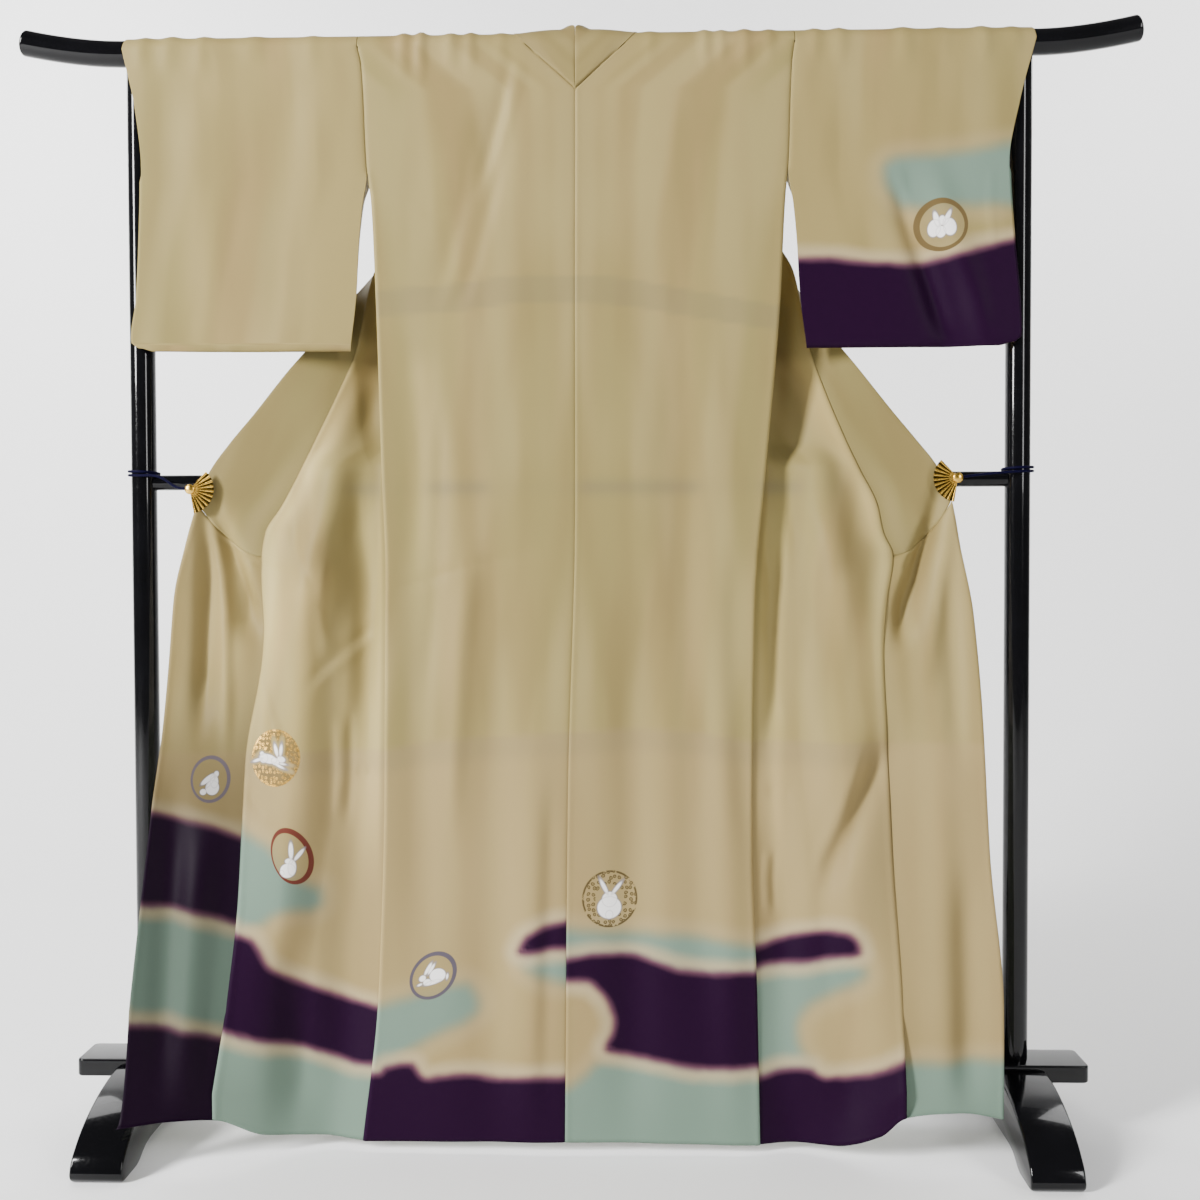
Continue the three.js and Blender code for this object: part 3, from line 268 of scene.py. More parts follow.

# Painted shade in the deep folds, darker and warmer: width, strength, then the points it follows.
PAINTED_FOLD_SHADES = (
    (17, 0.75, ((-322, 1360), (-318, 1260), (-316, 1160), (-313, 1060), (-308, 960))),
    (34, 0.3, ((-336, 1300), (-334, 1180), (-330, 1060), (-326, 960))),
    (17, 0.75, ((328, 1360), (322, 1260), (314, 1160), (306, 1060), (300, 960))),
    (34, 0.3, ((342, 1300), (334, 1180), (326, 1080), (318, 980))),
    (13, 0.35, ((-472, 930), (-474, 860), (-476, 780), (-484, 690), (-490, 600))),
    (13, 0.3, ((470, 930), (470, 860), (470, 780), (474, 690), (478, 600))),
    (10, 0.45, ((-560, 990), (-540, 917), (-523, 883), (-501, 831), (-480, 780), (-466, 700))),
    (10, 0.4, ((-560, 990), (-556, 920), (-555, 883), (-554, 831), (-554, 700), (-556, 560))),
    (11, 0.5, ((548, 990), (530, 931), (520, 887), (504, 830), (486, 780), (464, 700))),
    (12, 0.35, ((455, 610), (412, 507), (382, 436), (362, 360))),
)

# Puckers that stand above the rail's line: x, half width, height, and how far down their ridge runs.
PUCKERS = (
    (-647, 9, 2.0, 40), (-606, 12, 3.0, 55), (-557, 10, 2.4, 60), (-480, 14, 1.6, 40),
    (-392, 10, 1.6, 50), (-255, 9, 3.4, 60), (-229, 8, 4.6, 75), (-185, 9, 2.6, 45),
    (-155, 8, 3.0, 55), (-110, 9, 1.8, 40), (110, 9, 1.4, 40), (191, 8, 2.6, 50),
    (216, 7, 2.0, 45), (250, 9, 3.0, 60), (286, 8, 2.0, 40), (353, 9, 2.4, 45), (389, 10, 2.8, 50),
    (484, 13, 2.6, 60), (540, 11, 1.6, 40), (600, 11, 2.6, 50), (645, 8, 1.6, 30),
)

# Painted shade where things behind the silk show through as a darker tone. The tuck inside the back and
# the upper edge of the hem's lining: x, z. The middle rail: the stretches, from x to x, where the cloth
# touches it.
TUCK_TOP = ((-290, 1257), (-186, 1265), (-67, 1277), (36, 1274), (183, 1250), (293, 1230))
TUCK_BOTTOM = ((-290, 1218), (-186, 1223), (-67, 1235), (36, 1233), (183, 1211), (293, 1193))
LINING_EDGE = ((-288, 576), (-214, 590), (-111, 598), (-9, 604), (94, 608), (181, 603), (256, 590))
RAIL_TOUCHES = ((-215, -135), (12, 176), (278, 326), (-330, -300))

# Where the cloth is dyed, as closed outlines of the hung cloth in the picture plane.
PURPLE = {
    "okumi_left": (
        ((-660, 504), (-615, 492), (-550, 474), (-482, 453), (-440, 442), (-440, 318), (-490, 331),
         (-555, 350), (-623, 364), (-660, 372)),
        ((-660, 212), (-630, 203), (-565, 192), (-504, 176), (-460, 168), (-460, -20), (-660, -20)),
    ),
    "front_left": (
        ((-520, 326), (-487, 317), (-463, 309), (-441, 273), (-399, 243), (-336, 214), (-289, 205),
         (-250, 200), (-250, 118), (-289, 122), (-328, 123), (-411, 152), (-500, 182), (-530, 190)),
    ),
    "back_left": (
        ((-330, 108), (-289, 112), (-278, 121), (-239, 126), (-220, 105), (-161, 111), (-110, 106),
         (-13, 110), (20, 112), (20, -20), (-330, -20)),
        ((-84, 287), (-74, 311), (-45, 327), (-13, 332), (20, 334), (20, 288), (-13, 289), (-67, 284)),
    ),
    "back_right": (
        ((-30, 276), (-13, 280), (20, 286), (64, 283), (107, 276), (151, 262), (194, 258), (259, 259),
         (290, 259), (290, 120), (261, 121), (179, 121), (121, 130), (46, 145), (53, 169), (55, 193),
         (42, 222), (20, 242), (-13, 244), (-30, 244)),
    ),
    "front_right": (
        ((230, 290), (256, 295), (288, 305), (323, 316), (380, 322), (401, 315), (409, 297),
         (400, 287), (351, 279), (309, 269), (256, 261), (230, 258)),
        ((230, 102), (261, 108), (300, 117), (335, 121), (360, 112), (404, 119), (438, 132),
         (466, 149), (500, 160), (500, -20), (230, -20)),
    ),
    "sleeve_right": (
        ((290, 1300), (326, 1299), (374, 1298), (433, 1292), (491, 1291), (549, 1300), (593, 1311),
         (644, 1325), (700, 1334), (700, 1120), (290, 1120)),
    ),
}
CELADON = {
    "okumi_left": (
        ((-660, 382), (-555, 360), (-470, 336), (-460, 336), (-460, 160), (-504, 170), (-660, 204)),
    ),
    "front_left": (
        ((-530, 196), (-411, 162), (-328, 133), (-250, 128), (-250, -20), (-530, -20)),
        ((-500, 470), (-478, 460), (-446, 442), (-423, 418), (-401, 392), (-373, 377), (-370, 355),
         (-386, 346), (-415, 349), (-436, 343), (-454, 329), (-484, 316), (-510, 310)),
    ),
    "back_left": (
        ((-330, 202), (-289, 208), (-257, 216), (-213, 231), (-176, 241), (-154, 239), (-140, 217),
         (-143, 196), (-162, 181), (-198, 166), (-249, 137), (-289, 100), (-330, 90)),
        ((20, 296), (-13, 292), (-67, 287), (-79, 272), (-67, 258), (-45, 247), (-13, 240), (20, 236)),
    ),
    "back_right": (
        ((-30, 324), (-13, 323), (35, 319), (122, 312), (180, 308), (259, 299), (290, 296),
         (290, 200), (120, 220), (-30, 262)),
        ((-30, 90), (-13, 97), (13, 112), (35, 130), (71, 136), (121, 137), (290, 130), (290, -20),
         (-30, -20)),
    ),
    "front_right": (
        ((230, 290), (300, 290), (370, 300), (410, 280), (418, 262), (400, 244), (371, 230),
         (339, 212), (322, 188), (322, 159), (333, 136), (342, 126), (342, 100), (230, 90)),
    ),
    "okumi_right": (
        ((430, 140), (466, 143), (515, 147), (571, 150), (603, 151), (650, 152), (650, -20),
         (430, -20)),
    ),
    "sleeve_right": (
        ((454, 1433), (476, 1445), (534, 1450), (633, 1463), (700, 1470), (700, 1366), (636, 1369),
         (564, 1374), (520, 1370), (476, 1375), (454, 1404)),
    ),
}

# How far from a dyed outline its depth is still counted.
DYE_REACH = 60

# Each motif: piece, place on the hung cloth (x, z), half width and height, turn, kind, pose.
MOTIFS = (
    ("okumi_left", -535, 537, 26.6, 31.5, 0, "grey ring", "ears back"),
    ("front_left", -438, 569, 38, 42.5, 0, "gold roundel", "leaping"),
    ("front_left", -413, 428, 25, 39, 20, "red ring", "sitting"),
    ("back_left", -209, 251, 36, 27.5, 45, "blue ring", "crouching"),
    ("back_right", 49, 363, 41.6, 42.5, 0, "flower ring", "from behind"),
    ("sleeve_right", 537, 1345, 35, 34.5, 0, "ochre ring", "facing"),
)

# The rabbits, as ellipses in units of the ring's radius: x, y, half width, half height, degrees.
POSES = {
    "ears back": (
        (0.12, -0.42, 0.33, 0.36, 0), (0.2, -0.1, 0.2, 0.34, 6), (0.29, 0.25, 0.12, 0.16, -14),
        (-0.12, 0.0, 0.42, 0.13, 40), (0.03, -0.14, 0.36, 0.08, 54), (-0.32, -0.62, 0.16, 0.15, 0),
    ),
    "leaping": (
        (-0.26, -0.04, 0.36, 0.16, -10), (-0.44, -0.02, 0.17, 0.17, 0), (0.02, -0.12, 0.17, 0.13, -20),
        (0.25, -0.04, 0.15, 0.11, -24), (0.05, 0.28, 0.07, 0.24, 16), (0.23, 0.28, 0.06, 0.23, -3),
        (0.17, -0.27, 0.24, 0.05, -26), (0.3, -0.2, 0.14, 0.04, -12), (-0.68, -0.1, 0.2, 0.055, 18),
        (-0.52, 0.14, 0.08, 0.07, 0),
    ),
    "sitting": (
        (-0.1, -0.62, 0.33, 0.32, 0), (0.08, -0.5, 0.17, 0.36, 0), (-0.05, -0.2, 0.17, 0.13, 0),
        (0.03, 0.26, 0.1, 0.4, 2), (0.36, 0.06, 0.09, 0.32, -38), (-0.34, -0.7, 0.09, 0.12, 30),
    ),
    "crouching": (
        (0.22, 0.02, 0.38, 0.3, 22), (0, -0.3, 0.42, 0.09, 18), (-0.48, -0.14, 0.17, 0.13, 34),
        (-0.22, 0.3, 0.08, 0.34, -30), (-0.07, 0.3, 0.07, 0.3, -32), (-0.26, -0.3, 0.2, 0.14, 20),
        (0.66, -0.02, 0.055, 0.14, -10), (-0.6, -0.42, 0.13, 0.05, 24),
    ),
    "from behind": (
        (-0.02, -0.3, 0.41, 0.38, 0), (-0.01, -0.02, 0.26, 0.26, 0), (-0.02, -0.54, 0.13, 0.15, 0),
        (-0.2, 0.42, 0.07, 0.3, 27), (0.24, 0.36, 0.065, 0.28, -40),
    ),
    "facing": (
        (-0.3, -0.12, 0.26, 0.36, -10), (0.32, -0.1, 0.26, 0.36, 10), (0, 0.18, 0.14, 0.2, 0),
        (-0.03, -0.28, 0.2, 0.24, 0), (-0.22, 0.24, 0.11, 0.34, 16), (0.2, 0.28, 0.1, 0.36, -24),
    ),
}

# How the motifs are drawn. A ring has a width, the share by which one side is heavier, and that side's
# angle in radians. A roundel has its inner edge, the scale of its marks, its share of metal foil, and
# one of them a toned field.
MOTIF_LOOKS = {
    "grey ring": {"ink": (0.14, 0.115, 0.13), "width": 0.075, "lean": 0.25, "heavy": 0.4},
    "red ring": {"ink": (0.11, 0.028, 0.019), "width": 0.085, "lean": 0.55, "heavy": 0.0},
    "blue ring": {"ink": (0.08, 0.068, 0.085), "width": 0.08, "lean": 0.2, "heavy": 0.0},
    "ochre ring": {"ink": (0.115, 0.078, 0.03), "width": 0.1, "lean": 0.3, "heavy": 2.6},
    "gold roundel": {
        "ink": (0.56, 0.33, 0.07), "inner": 0.0, "scale": 6.2, "foil": 0.7, "field": (0.13, 0.08, 0.02)},
    "flower ring": {"ink": (0.082, 0.058, 0.024), "inner": 0.5, "scale": 5.4, "foil": 0.15},
}
RABBIT_WHITE = (0.86, 0.84, 0.82)
RABBIT_LINE = (0.2, 0.18, 0.19)
RING_GROUND = (0.26, 0.2, 0.085)

# The silk's slow streaks, partly its own tone and partly painted satin sheen: scale, tint, share. Then the
# tint of the cloth over the hem's lining, the painted shade of what shows through, and the painted shade in
# the folds' hollows.
STREAKS_AND_SHEEN = (
    (9.0, (0.3, 0.207, 0.089), 0.6), (5.0, (0.208, 0.173, 0.062), 0.6), (17.0, (0.2, 0.15, 0.056), 0.45),
    (12.0, (0.35, 0.28, 0.125), 0.4),
)
LOWER_TINT = (0.3, 0.218, 0.1)
SHOWN_TINT = (0.125, 0.108, 0.07)
PAINTED_FOLD_SHADE_TINT = (0.13, 0.082, 0.022)

# The fan clip. Its leaf reaches from inner to outer, and every second edge point falls short by scallop.
FAN = {
    "ribs": 10, "from": -78, "to": 44, "inner": 7, "outer": 36, "plate": 1.2, "barrel": 4.2, "jaw": -21.5,
    "scallop": 0.03,
}

# The tie cord's turns round its post: height, rise from point to point, points, eight to a turn.
TIE = {"z": 985, "rise": 0.72, "points": 13}

# The camera, fitted to the photograph: place in metres, then its turns in radians.
CAMERA = {"place": (0.088, -2.0, 0.848), "yaw": 0.027, "pitch": -0.026, "roll": 0.003, "lens": 39.9}

# The lights, in metres and watts: name, place, where it points, width and height, power.
LIGHTS = (
    ("key", (-4.2, -3.1, 2.9), (0.1, 0, 0.9), (0.9, 2.4), 800),
    ("fill", (3.6, -4.2, 2.4), (0, 0, 0.9), (0.9, 2.4), 130),
    ("backdrop left", (-2.4, 1.4, 3.0), (-0.6, 3.0, 1.0), (1.5, 1.5), 60),
    ("backdrop right", (2.4, 1.4, 3.0), (0.6, 3.0, 1.0), (1.5, 1.5), 60),
)
SKY = 0.19

# The floor runs from front to bend, then turns up by radius into a wall that ends at top, in metres.
FLOOR = {"front": -5.0, "bend": 1.6, "radius": 1.4, "top": 6.0, "half": 7.0, "grey": 0.93}


class KimonoLooks(bpy.types.PropertyGroup):
    """Sizes and colours of the garment and its stand."""

    cloth: bpy.props.FloatProperty(
        name="Cloth", description="Thickness of the silk with its lining", default=0.0008,
        unit="LENGTH", precision=4)
    lip: bpy.props.FloatProperty(
        name="Edge roll", description="How far a pressed edge rolls back", default=0.0021,
        unit="LENGTH", precision=4)
    groove: bpy.props.FloatProperty(
        name="Seam groove", description="Depth of a seam in the silk", default=0.0016,
        unit="LENGTH", precision=4)
    cord: bpy.props.FloatProperty(
        name="Cord", description="Diameter of the tie cords", default=0.004, unit="LENGTH", precision=4)
    ground: bpy.props.FloatVectorProperty(
        name="Ground", description="The silk's own colour", subtype="COLOR", default=(0.268, 0.208, 0.08))
    purple: bpy.props.FloatVectorProperty(
        name="Purple", description="The deep dyed areas", subtype="COLOR", default=(0.0105, 0.0006, 0.0132))
    mauve: bpy.props.FloatVectorProperty(
        name="Mauve", description="Where the purple fades", subtype="COLOR", default=(0.15, 0.06, 0.09))
    celadon: bpy.props.FloatVectorProperty(
        name="Celadon", description="The pale green-grey areas", subtype="COLOR",
        default=(0.14, 0.203, 0.157))
    halo: bpy.props.FloatVectorProperty(
        name="Halo", description="The undyed rim beside a dyed area", subtype="COLOR",
        default=(0.39, 0.315, 0.18))
    lining: bpy.props.FloatVectorProperty(
        name="Lining", description="The body lining", subtype="COLOR", default=(0.74, 0.68, 0.54))
    hem_lining: bpy.props.FloatVectorProperty(
        name="Hem lining", description="The lining near the hem", subtype="COLOR", default=(0.3, 0.33, 0.22))
    lacquer: bpy.props.FloatVectorProperty(
        name="Lacquer", description="The stand's lacquer", subtype="COLOR", default=(0.0015, 0.0015, 0.002))
    gilt: bpy.props.FloatVectorProperty(
        name="Gilt", description="The clips' gilding", subtype="COLOR", default=(0.7, 0.43, 0.075))
    navy: bpy.props.FloatVectorProperty(
        name="Cord colour", description="The tie cords' colour", subtype="COLOR",
        default=(0.002, 0.001, 0.022))


def looks():
    """The sizes and colours as they are set now."""
    return bpy.context.scene.kimono_looks


# Smooth reading of tables, as in the solid model.
def smooth(keys, values, at):
    """Values between the keys by a curve that doesn't overshoot; values may hold several rows."""
    keys = np.asarray(keys, float)
    values = np.asarray(values, float)
    at = np.clip(np.asarray(at, float), keys[0], keys[-1])
    step = np.diff(keys)
    slope = np.diff(values, axis=-1) / step
    before = slope[..., :-1]
    after = slope[..., 1:]
    one_way = before * after > 0
    w1 = 2 * step[1:] + step[:-1]
    w2 = step[1:] + 2 * step[:-1]
    middle = (w1 + w2) / (w1 / np.where(one_way, before, 1) + w2 / np.where(one_way, after, 1))
    tangent = np.concatenate([slope[..., :1], np.where(one_way, middle, 0), slope[..., -1:]], axis=-1)
    row = np.clip(np.searchsorted(keys, at, side="right") - 1, 0, len(keys) - 2)
    h = step[row]
    t = (at - keys[row]) / h
    t2 = t * t
    t3 = t2 * t
    return (
        (2 * t3 - 3 * t2 + 1) * values[..., row] + (t3 - 2 * t2 + t) * h * tangent[..., row]
        + (3 * t2 - 2 * t3) * values[..., row + 1] + (t3 - t2) * h * tangent[..., row + 1]
    )


def read(rows, column, at):
    """One column of a table, by its first."""
    table = np.asarray(rows, float)
    return smooth(table[:, 0], table[:, column], at)


def mix(a, b, t):
    """From a to b by the share t."""
    return a + (b - a) * t


def ease(start, end, at):
    """A smooth rise from 0 at the start to 1 at the end."""
    t = np.clip((np.asarray(at, float) - start) / (end - start), 0, 1)
    return t * t * (3 - 2 * t)


def bell(off, width):
    """1 in the middle, falling away smoothly on both sides."""
    return np.exp(-((off / width) ** 2))


def to_line(x, z, points):
    """Distance to a line of points, with a sign for its side, and how far along it, 0 to 1."""
    points = np.asarray(points, float)
    pieces = np.diff(points, axis=0)
    lengths = np.hypot(pieces[:, 0], pieces[:, 1])
    total = lengths.sum()
    best = np.full(x.shape, 1e9)
    signed = np.zeros(x.shape)
    along = np.zeros(x.shape)
    run = 0.0
    for (px, pz), (dx, dz), length in zip(points[:-1], pieces, lengths):
        free = ((x - px) * dx + (z - pz) * dz) / length ** 2
        t = np.clip(free, 0, 1)
        gap = np.hypot(x - px - t * dx, z - pz - t * dz)
        side = np.sign((x - px) * dz - (z - pz) * dx)
        nearer = gap < best
        best = np.where(nearer, gap, best)
        signed = np.where(nearer, gap * side, signed)
        along = np.where(nearer, (run + t * length) / total, along)
        run += length
    return signed, along


def fold_depth(x, z):
    """The main folds' depth at points of the picture plane."""
    total = np.zeros(x.shape)
    for x1, z1, x2, z2, width, depth in FOLDS:
        length = math.hypot(x2 - x1, z2 - z1)
        t = ((x - x1) * (x2 - x1) + (z - z1) * (z2 - z1)) / length ** 2
        off = ((x - x1) * (z2 - z1) - (z - z1) * (x2 - x1)) / length
        fade = ease(-0.1, 0.3, t) * (1 - ease(0.75, 1.12, t))
        total += depth * fade * bell(off, width)
    return FULLNESS * total * (1 - ease(FOLD_TOP - FOLD_FADE, FOLD_TOP, z))


def crease_depth(x, z):
    """The finer creases, and a slight unevenness all over."""
    total = 0.5 * np.sin(x / 41 + z / 190 + 1.1) * np.sin(z / 97 - x / 160)
    total += 0.35 * np.sin(x / 23 - z / 130) * np.sin(z / 61 + 0.7)
    total *= 1 - ease(1540, 1600, z)
    for kind, width, depth, points in CREASES:
        xs = [p[0] for p in points]
        zs = [p[1] for p in points]
        reach = 4 * width
        near = (x > min(xs) - reach) & (x < max(xs) + reach) & (z > min(zs) - reach) & (z < max(zs) + reach)
        if not near.any():
            continue
        off, along = to_line(x[near], z[near], points)
        fade = ease(0, 0.25, along) * (1 - ease(0.7, 1, along))
        if kind == "soft":
            shape = bell(off, width)
        elif kind == "sharp":
            shape = np.exp(-np.abs(off) / width)
        else:
            shape = off / width * np.exp(0.5 - (off / width) ** 2 / 2)
        total[near] += depth * fade * shape
    return total


def hang(x, y, z):
    """A depth with the folds and creases at that place laid over it."""
    return y + fold_depth(x, z) + crease_depth(x, z)


def pucker(x, down):
    """How far the puckers lift the cloth off the rail, by the distance down from its middle line."""
    total = np.zeros(np.broadcast(x, down).shape)
    for place, half, height, run in PUCKERS:
        total += height * bell(x - place, half) * (1 - ease(0.1, 1, down / run))
    return total


def puckered(x, z):
    """How far the puckers lift the cloth that hangs from the rail."""
    return pucker(x, RAIL["z"] - z) * (z > PUCKER_FROM)


# Grids of points. Rows run down the cloth and columns across it.
def spread(width, step):
    """Shares of a width, close together at both edges."""
    last = EDGE_STEPS[-1]
    count = max(6, int(round((width - 2 * last) / (step * DETAIL))))
    inside = np.linspace(last, width - last, count + 1)
    edge = np.array(EDGE_STEPS[:-1])
    return np.concatenate([[0], edge, inside, width - edge[::-1], [width]]) / width


def down_levels(top, bottom, step):
    """Even heights from the top to the bottom."""
    count = max(2, int(round((top - bottom) / (step * DETAIL))))
    return np.linspace(top, bottom, count + 1)


def rail_levels(bottom, step):
    """Heights from the rail's middle down, closer together at first."""
    first = down_levels(RAIL["z"], FINE_FROM, 4)[:-1]
    return np.concatenate([first, down_levels(FINE_FROM, bottom, step)])


def hem_levels(upper, end, count):
    """Heights down to the hem: the tables' height, and the share of the hem's part."""
    share = np.linspace(0, 1, int(count / DETAIL) + 2)[1:]
    return (
        np.concatenate([upper, mix(HEM_FROM, end, share)]),
        np.concatenate([np.zeros(len(upper)), share]),
    )


def body_levels():
    """The rows of a back or a front."""
    return hem_levels(rail_levels(HEM_FROM, 6.5), BODY_TABLE_END, 30)


def over_rail(x, face):
    """The rows that bend over the rail, above the row at its middle; face is -1 near and 1 far."""
    count = int(12 / DETAIL) + 2
    angle = np.linspace(math.pi / 2, 0, count + 1)[:-1, None]
    lift = pucker(x[None, :], np.zeros_like(x)[None, :])
    reach = WRAP + lift
    y = face * (reach * np.cos(angle))
    z = RAIL["z"] + reach * np.sin(angle)
    return np.broadcast_to(x[None, :], y.shape), y, z


def stack(*parts):
    """Grids of x, y and z set one below the other."""
    return tuple(np.concatenate([part[i] for part in parts]) for i in range(3))


def at_hem(x, z, share):
    """Heights that run out into the hem's line over the lowest rows."""
    return np.where(share > 0, mix(HEM_FROM, read(HEM, 1, x), share), np.broadcast_to(z, x.shape))


def back_sheet(side):
    """Half of the back: centre seam to side edge, with the sleeve's seam above."""
    sign = side["sign"]
    z_at, hem_share = body_levels()
    z_at = z_at[:, None]
    hem_share = hem_share[:, None]
    t = spread(300, 5.5)[None, :]
    neck = NECK["half"] * np.maximum(0, (z_at - NECK["dip"]) / (RAIL["z"] - NECK["dip"]))
    inner = read(CENTRE, 1, z_at) + sign * neck
    outer = sign * read(side["back"], 1, z_at)
    x = mix(inner, outer, t)
    y = mix(read(CENTRE, 2, z_at), read(side["back"], 2, z_at), t)
    z = at_hem(x, z_at, hem_share)
    y = hang(x, y, z) - puckered(x, z)
    from_inner = np.abs(x - inner)
    from_outer = np.abs(outer - x)
    lip = looks().lip / MM
    groove = looks().groove / MM
    y += mix(lip * np.exp(-from_outer / 1.7) - 0.5 * bell(from_outer - 4.5, 3),
             1.5 * groove * np.exp(-from_outer / 2.8), ease(*ARMHOLE, z))
    if sign < 0:
        y += groove * np.exp(-from_inner / 2.6)
    else:
        y += groove * np.exp(-from_inner / 1.3) - 0.5 * bell(from_inner - 3.5, 2.6)
    y -= hem_roll(hem_share)
    return stack(over_rail(x[0], -1), (x, y, z))


def hem_roll(share):
    """A slight swelling where the lining rolls out along the hem."""
    return bell(1 - share, 0.022) * (share > 0)


def front_side_y(side, z):
    """The depth of a front's side edge: on the back's edge below, and towards the far side above."""
    y = np.where(z < 1250, read(side["back"], 2, z), read(FRONT_SIDE_Y, 1, z))
    return y + LAP * (1 - ease(1250, 1425, z))


def front_sheet(side):
    """A front panel, from its side seam round the deep fold to the long seam."""
    sign = side["sign"]
    z_at, hem_share = body_levels()
    edge = read(side["back"], 1, z_at)
    under = 6 * (1 - ease(950, 1020, z_at))
    out = [edge - under, *(edge + read(FRONT_FOLDS, column, z_at) for column in (1, 3, 5))]
    out = np.stack([*out, read(side["seam"], 1, z_at)], axis=1)
    depth = [front_side_y(side, z_at), *(read(FRONT_FOLDS, column, z_at) for column in (2, 4, 6))]
    depth = np.stack([*depth, read(side["seam"], 2, z_at)], axis=1)
    shares = spread(260, 4.2)
    guides = (0, 0.25, 0.5, 0.75, 1)
    x = sign * smooth(guides, out, shares)
    y = smooth(guides, depth, shares)
    hem_share = hem_share[:, None]
    z = at_hem(x, z_at[:, None], hem_share)
    y = hang(x, y, z)
    y += puckered(x, z)
    from_seam = (1 - shares)[None, :] * 250
    y += (looks().lip / MM * 0.8) * np.exp(-from_seam / 1.7) - 0.9 * bell(from_seam - 5.5, 4)
    y -= hem_roll(hem_share)
    return stack(over_rail(x[0], 1), (x, y, z))


def strip(side, z_at, table, sag, shares, hem_share, under=6):
    """The strip between the long seam and a free edge, one row for each height of the seam."""
    sign = side["sign"]
    seam_x = sign * read(side["seam"], 1, z_at)
    seam_y = read(side["seam"], 2, z_at)
    edge_x = sign * read(table, 1, z_at)
    edge_y = read(table, 2, z_at)
    edge_z = read(table, 3, z_at)
    seam_y = hang(seam_x, seam_y, z_at) + LAP
    start_x = seam_x - sign * under
    span = np.abs(edge_x - start_x)
    t = shares[None, :]
    bow = 4 * t * (1 - t)
    x = mix(start_x[:, None], edge_x[:, None], t)
    z = mix(z_at[:, None], edge_z[:, None], t) + sag[:, None] * bow
    z = mix(z, read(HEM, 1, x), hem_share[:, None])
    y = mix(seam_y[:, None], edge_y[:, None], t)
    y = y + (fold_depth(x, z) + crease_depth(x, z)) * np.minimum(1, 4 * t)
    from_edge = (1 - t) * span[:, None]
    return x, y, z, from_edge


def okumi_sheet(side):
    """The narrow overlap panel below the collar's end."""
    z_at, hem_share = hem_levels(down_levels(COLLAR_END, HEM_FROM, 5), OKUMI_TABLE_END, 28)
    sag = side["collar"][0][4] * ease(790, COLLAR_END, z_at)
    x, y, z, from_edge = strip(side, z_at, side["okumi"], sag, spread(130, 4), hem_share)
    y = y + 0.9 * np.exp(-from_edge / 1.5) - 0.7 * bell(from_edge - 3.5, 2.4)
    y -= hem_roll(hem_share[:, None])
    return x, y, z


def collar_over_rail(side, t, lap, middle):
    """The collar's rows over the rail, from the back of the neck to the fronts."""
    angle = np.linspace(math.pi, 0, int(30 / DETAIL) + 3)[:-1, None]
    share = angle / math.pi
    near_half = np.clip((1 - share) / 0.5, 0, 1)
    widening = read(side["seam"], 1, RAIL["z"]) - NECK["half"]
    seam_out = NECK["half"] - GAP + widening * (1 - (1 - near_half) ** 2)
    free_out = mix(read(side["collar"], 1, RAIL["z"]), SLIT, ease(0, 0.7, share))
    radius = WRAP + mix(lap, LAP, ease(0.55, 0.3, share)) - 0.8 * middle * ease(0.6, 0.8, share)
    tip = NECK["rise"] * ease(0.1, 0.7, t) + NECK["tip"] * np.clip((t - 0.78) / 0.22, 0, 1) ** 1.4
    x = side["sign"] * mix(seam_out, free_out, t)
    y = np.broadcast_to(radius * np.cos(angle), x.shape)
    return x, y, RAIL["z"] + (radius + tip * np.sin(angle)) * np.sin(angle)


def collar_at_neck(side, t, lap, middle):
    """The collar's rows below the rail at the back of the neck, tucked behind the neck's edge."""
    z = down_levels(RAIL["z"], 1548, 4)[1:][::-1][:, None]
    out = np.maximum(1.6, NECK["half"] * ((z - NECK["dip"]) / (RAIL["z"] - NECK["dip"])))
    below_rail = 1 - ease(1596, 1612, z)
    tuck = np.minimum(2.5, 0.3 * out) * below_rail - GAP * (1 - below_rail)
    x = side["sign"] * mix(out + tuck, SLIT, t)
    deepest = looks().groove / MM + 1
    sunk = deepest * below_rail * (1 - ease(0, 3, out - np.abs(x)))
    y = read(CENTRE, 2, z) - lap * (1 - sunk / deepest) + sunk + 1.4 * middle
    z = np.broadcast_to(z, x.shape)
    return x, hang(x, y, z), z


def collar_sheet(side):
    """Half of the collar, from the back of the neck over the rail to its end at the clip."""
    shares = spread(110, 4)
    t = shares[None, :]
    lap = mix(0.8, LAP, ease(0, 0.35, t))
    middle = np.exp(-(1 - t) * 50 / 1.6)
    z_at = rail_levels(COLLAR_END, 5)
    sag = read(side["collar"], 4, z_at)
    x, y, z, from_edge = strip(side, z_at, side["collar"], sag, shares, np.zeros(len(z_at)), under=0)
    y = y + 0.8 * np.exp(-from_edge / 1.5) * np.where(z_at > 1200, -1, 1)[:, None]
    return stack(collar_at_neck(side, t, lap, middle), collar_over_rail(side, t, lap, middle), (x, y, z))


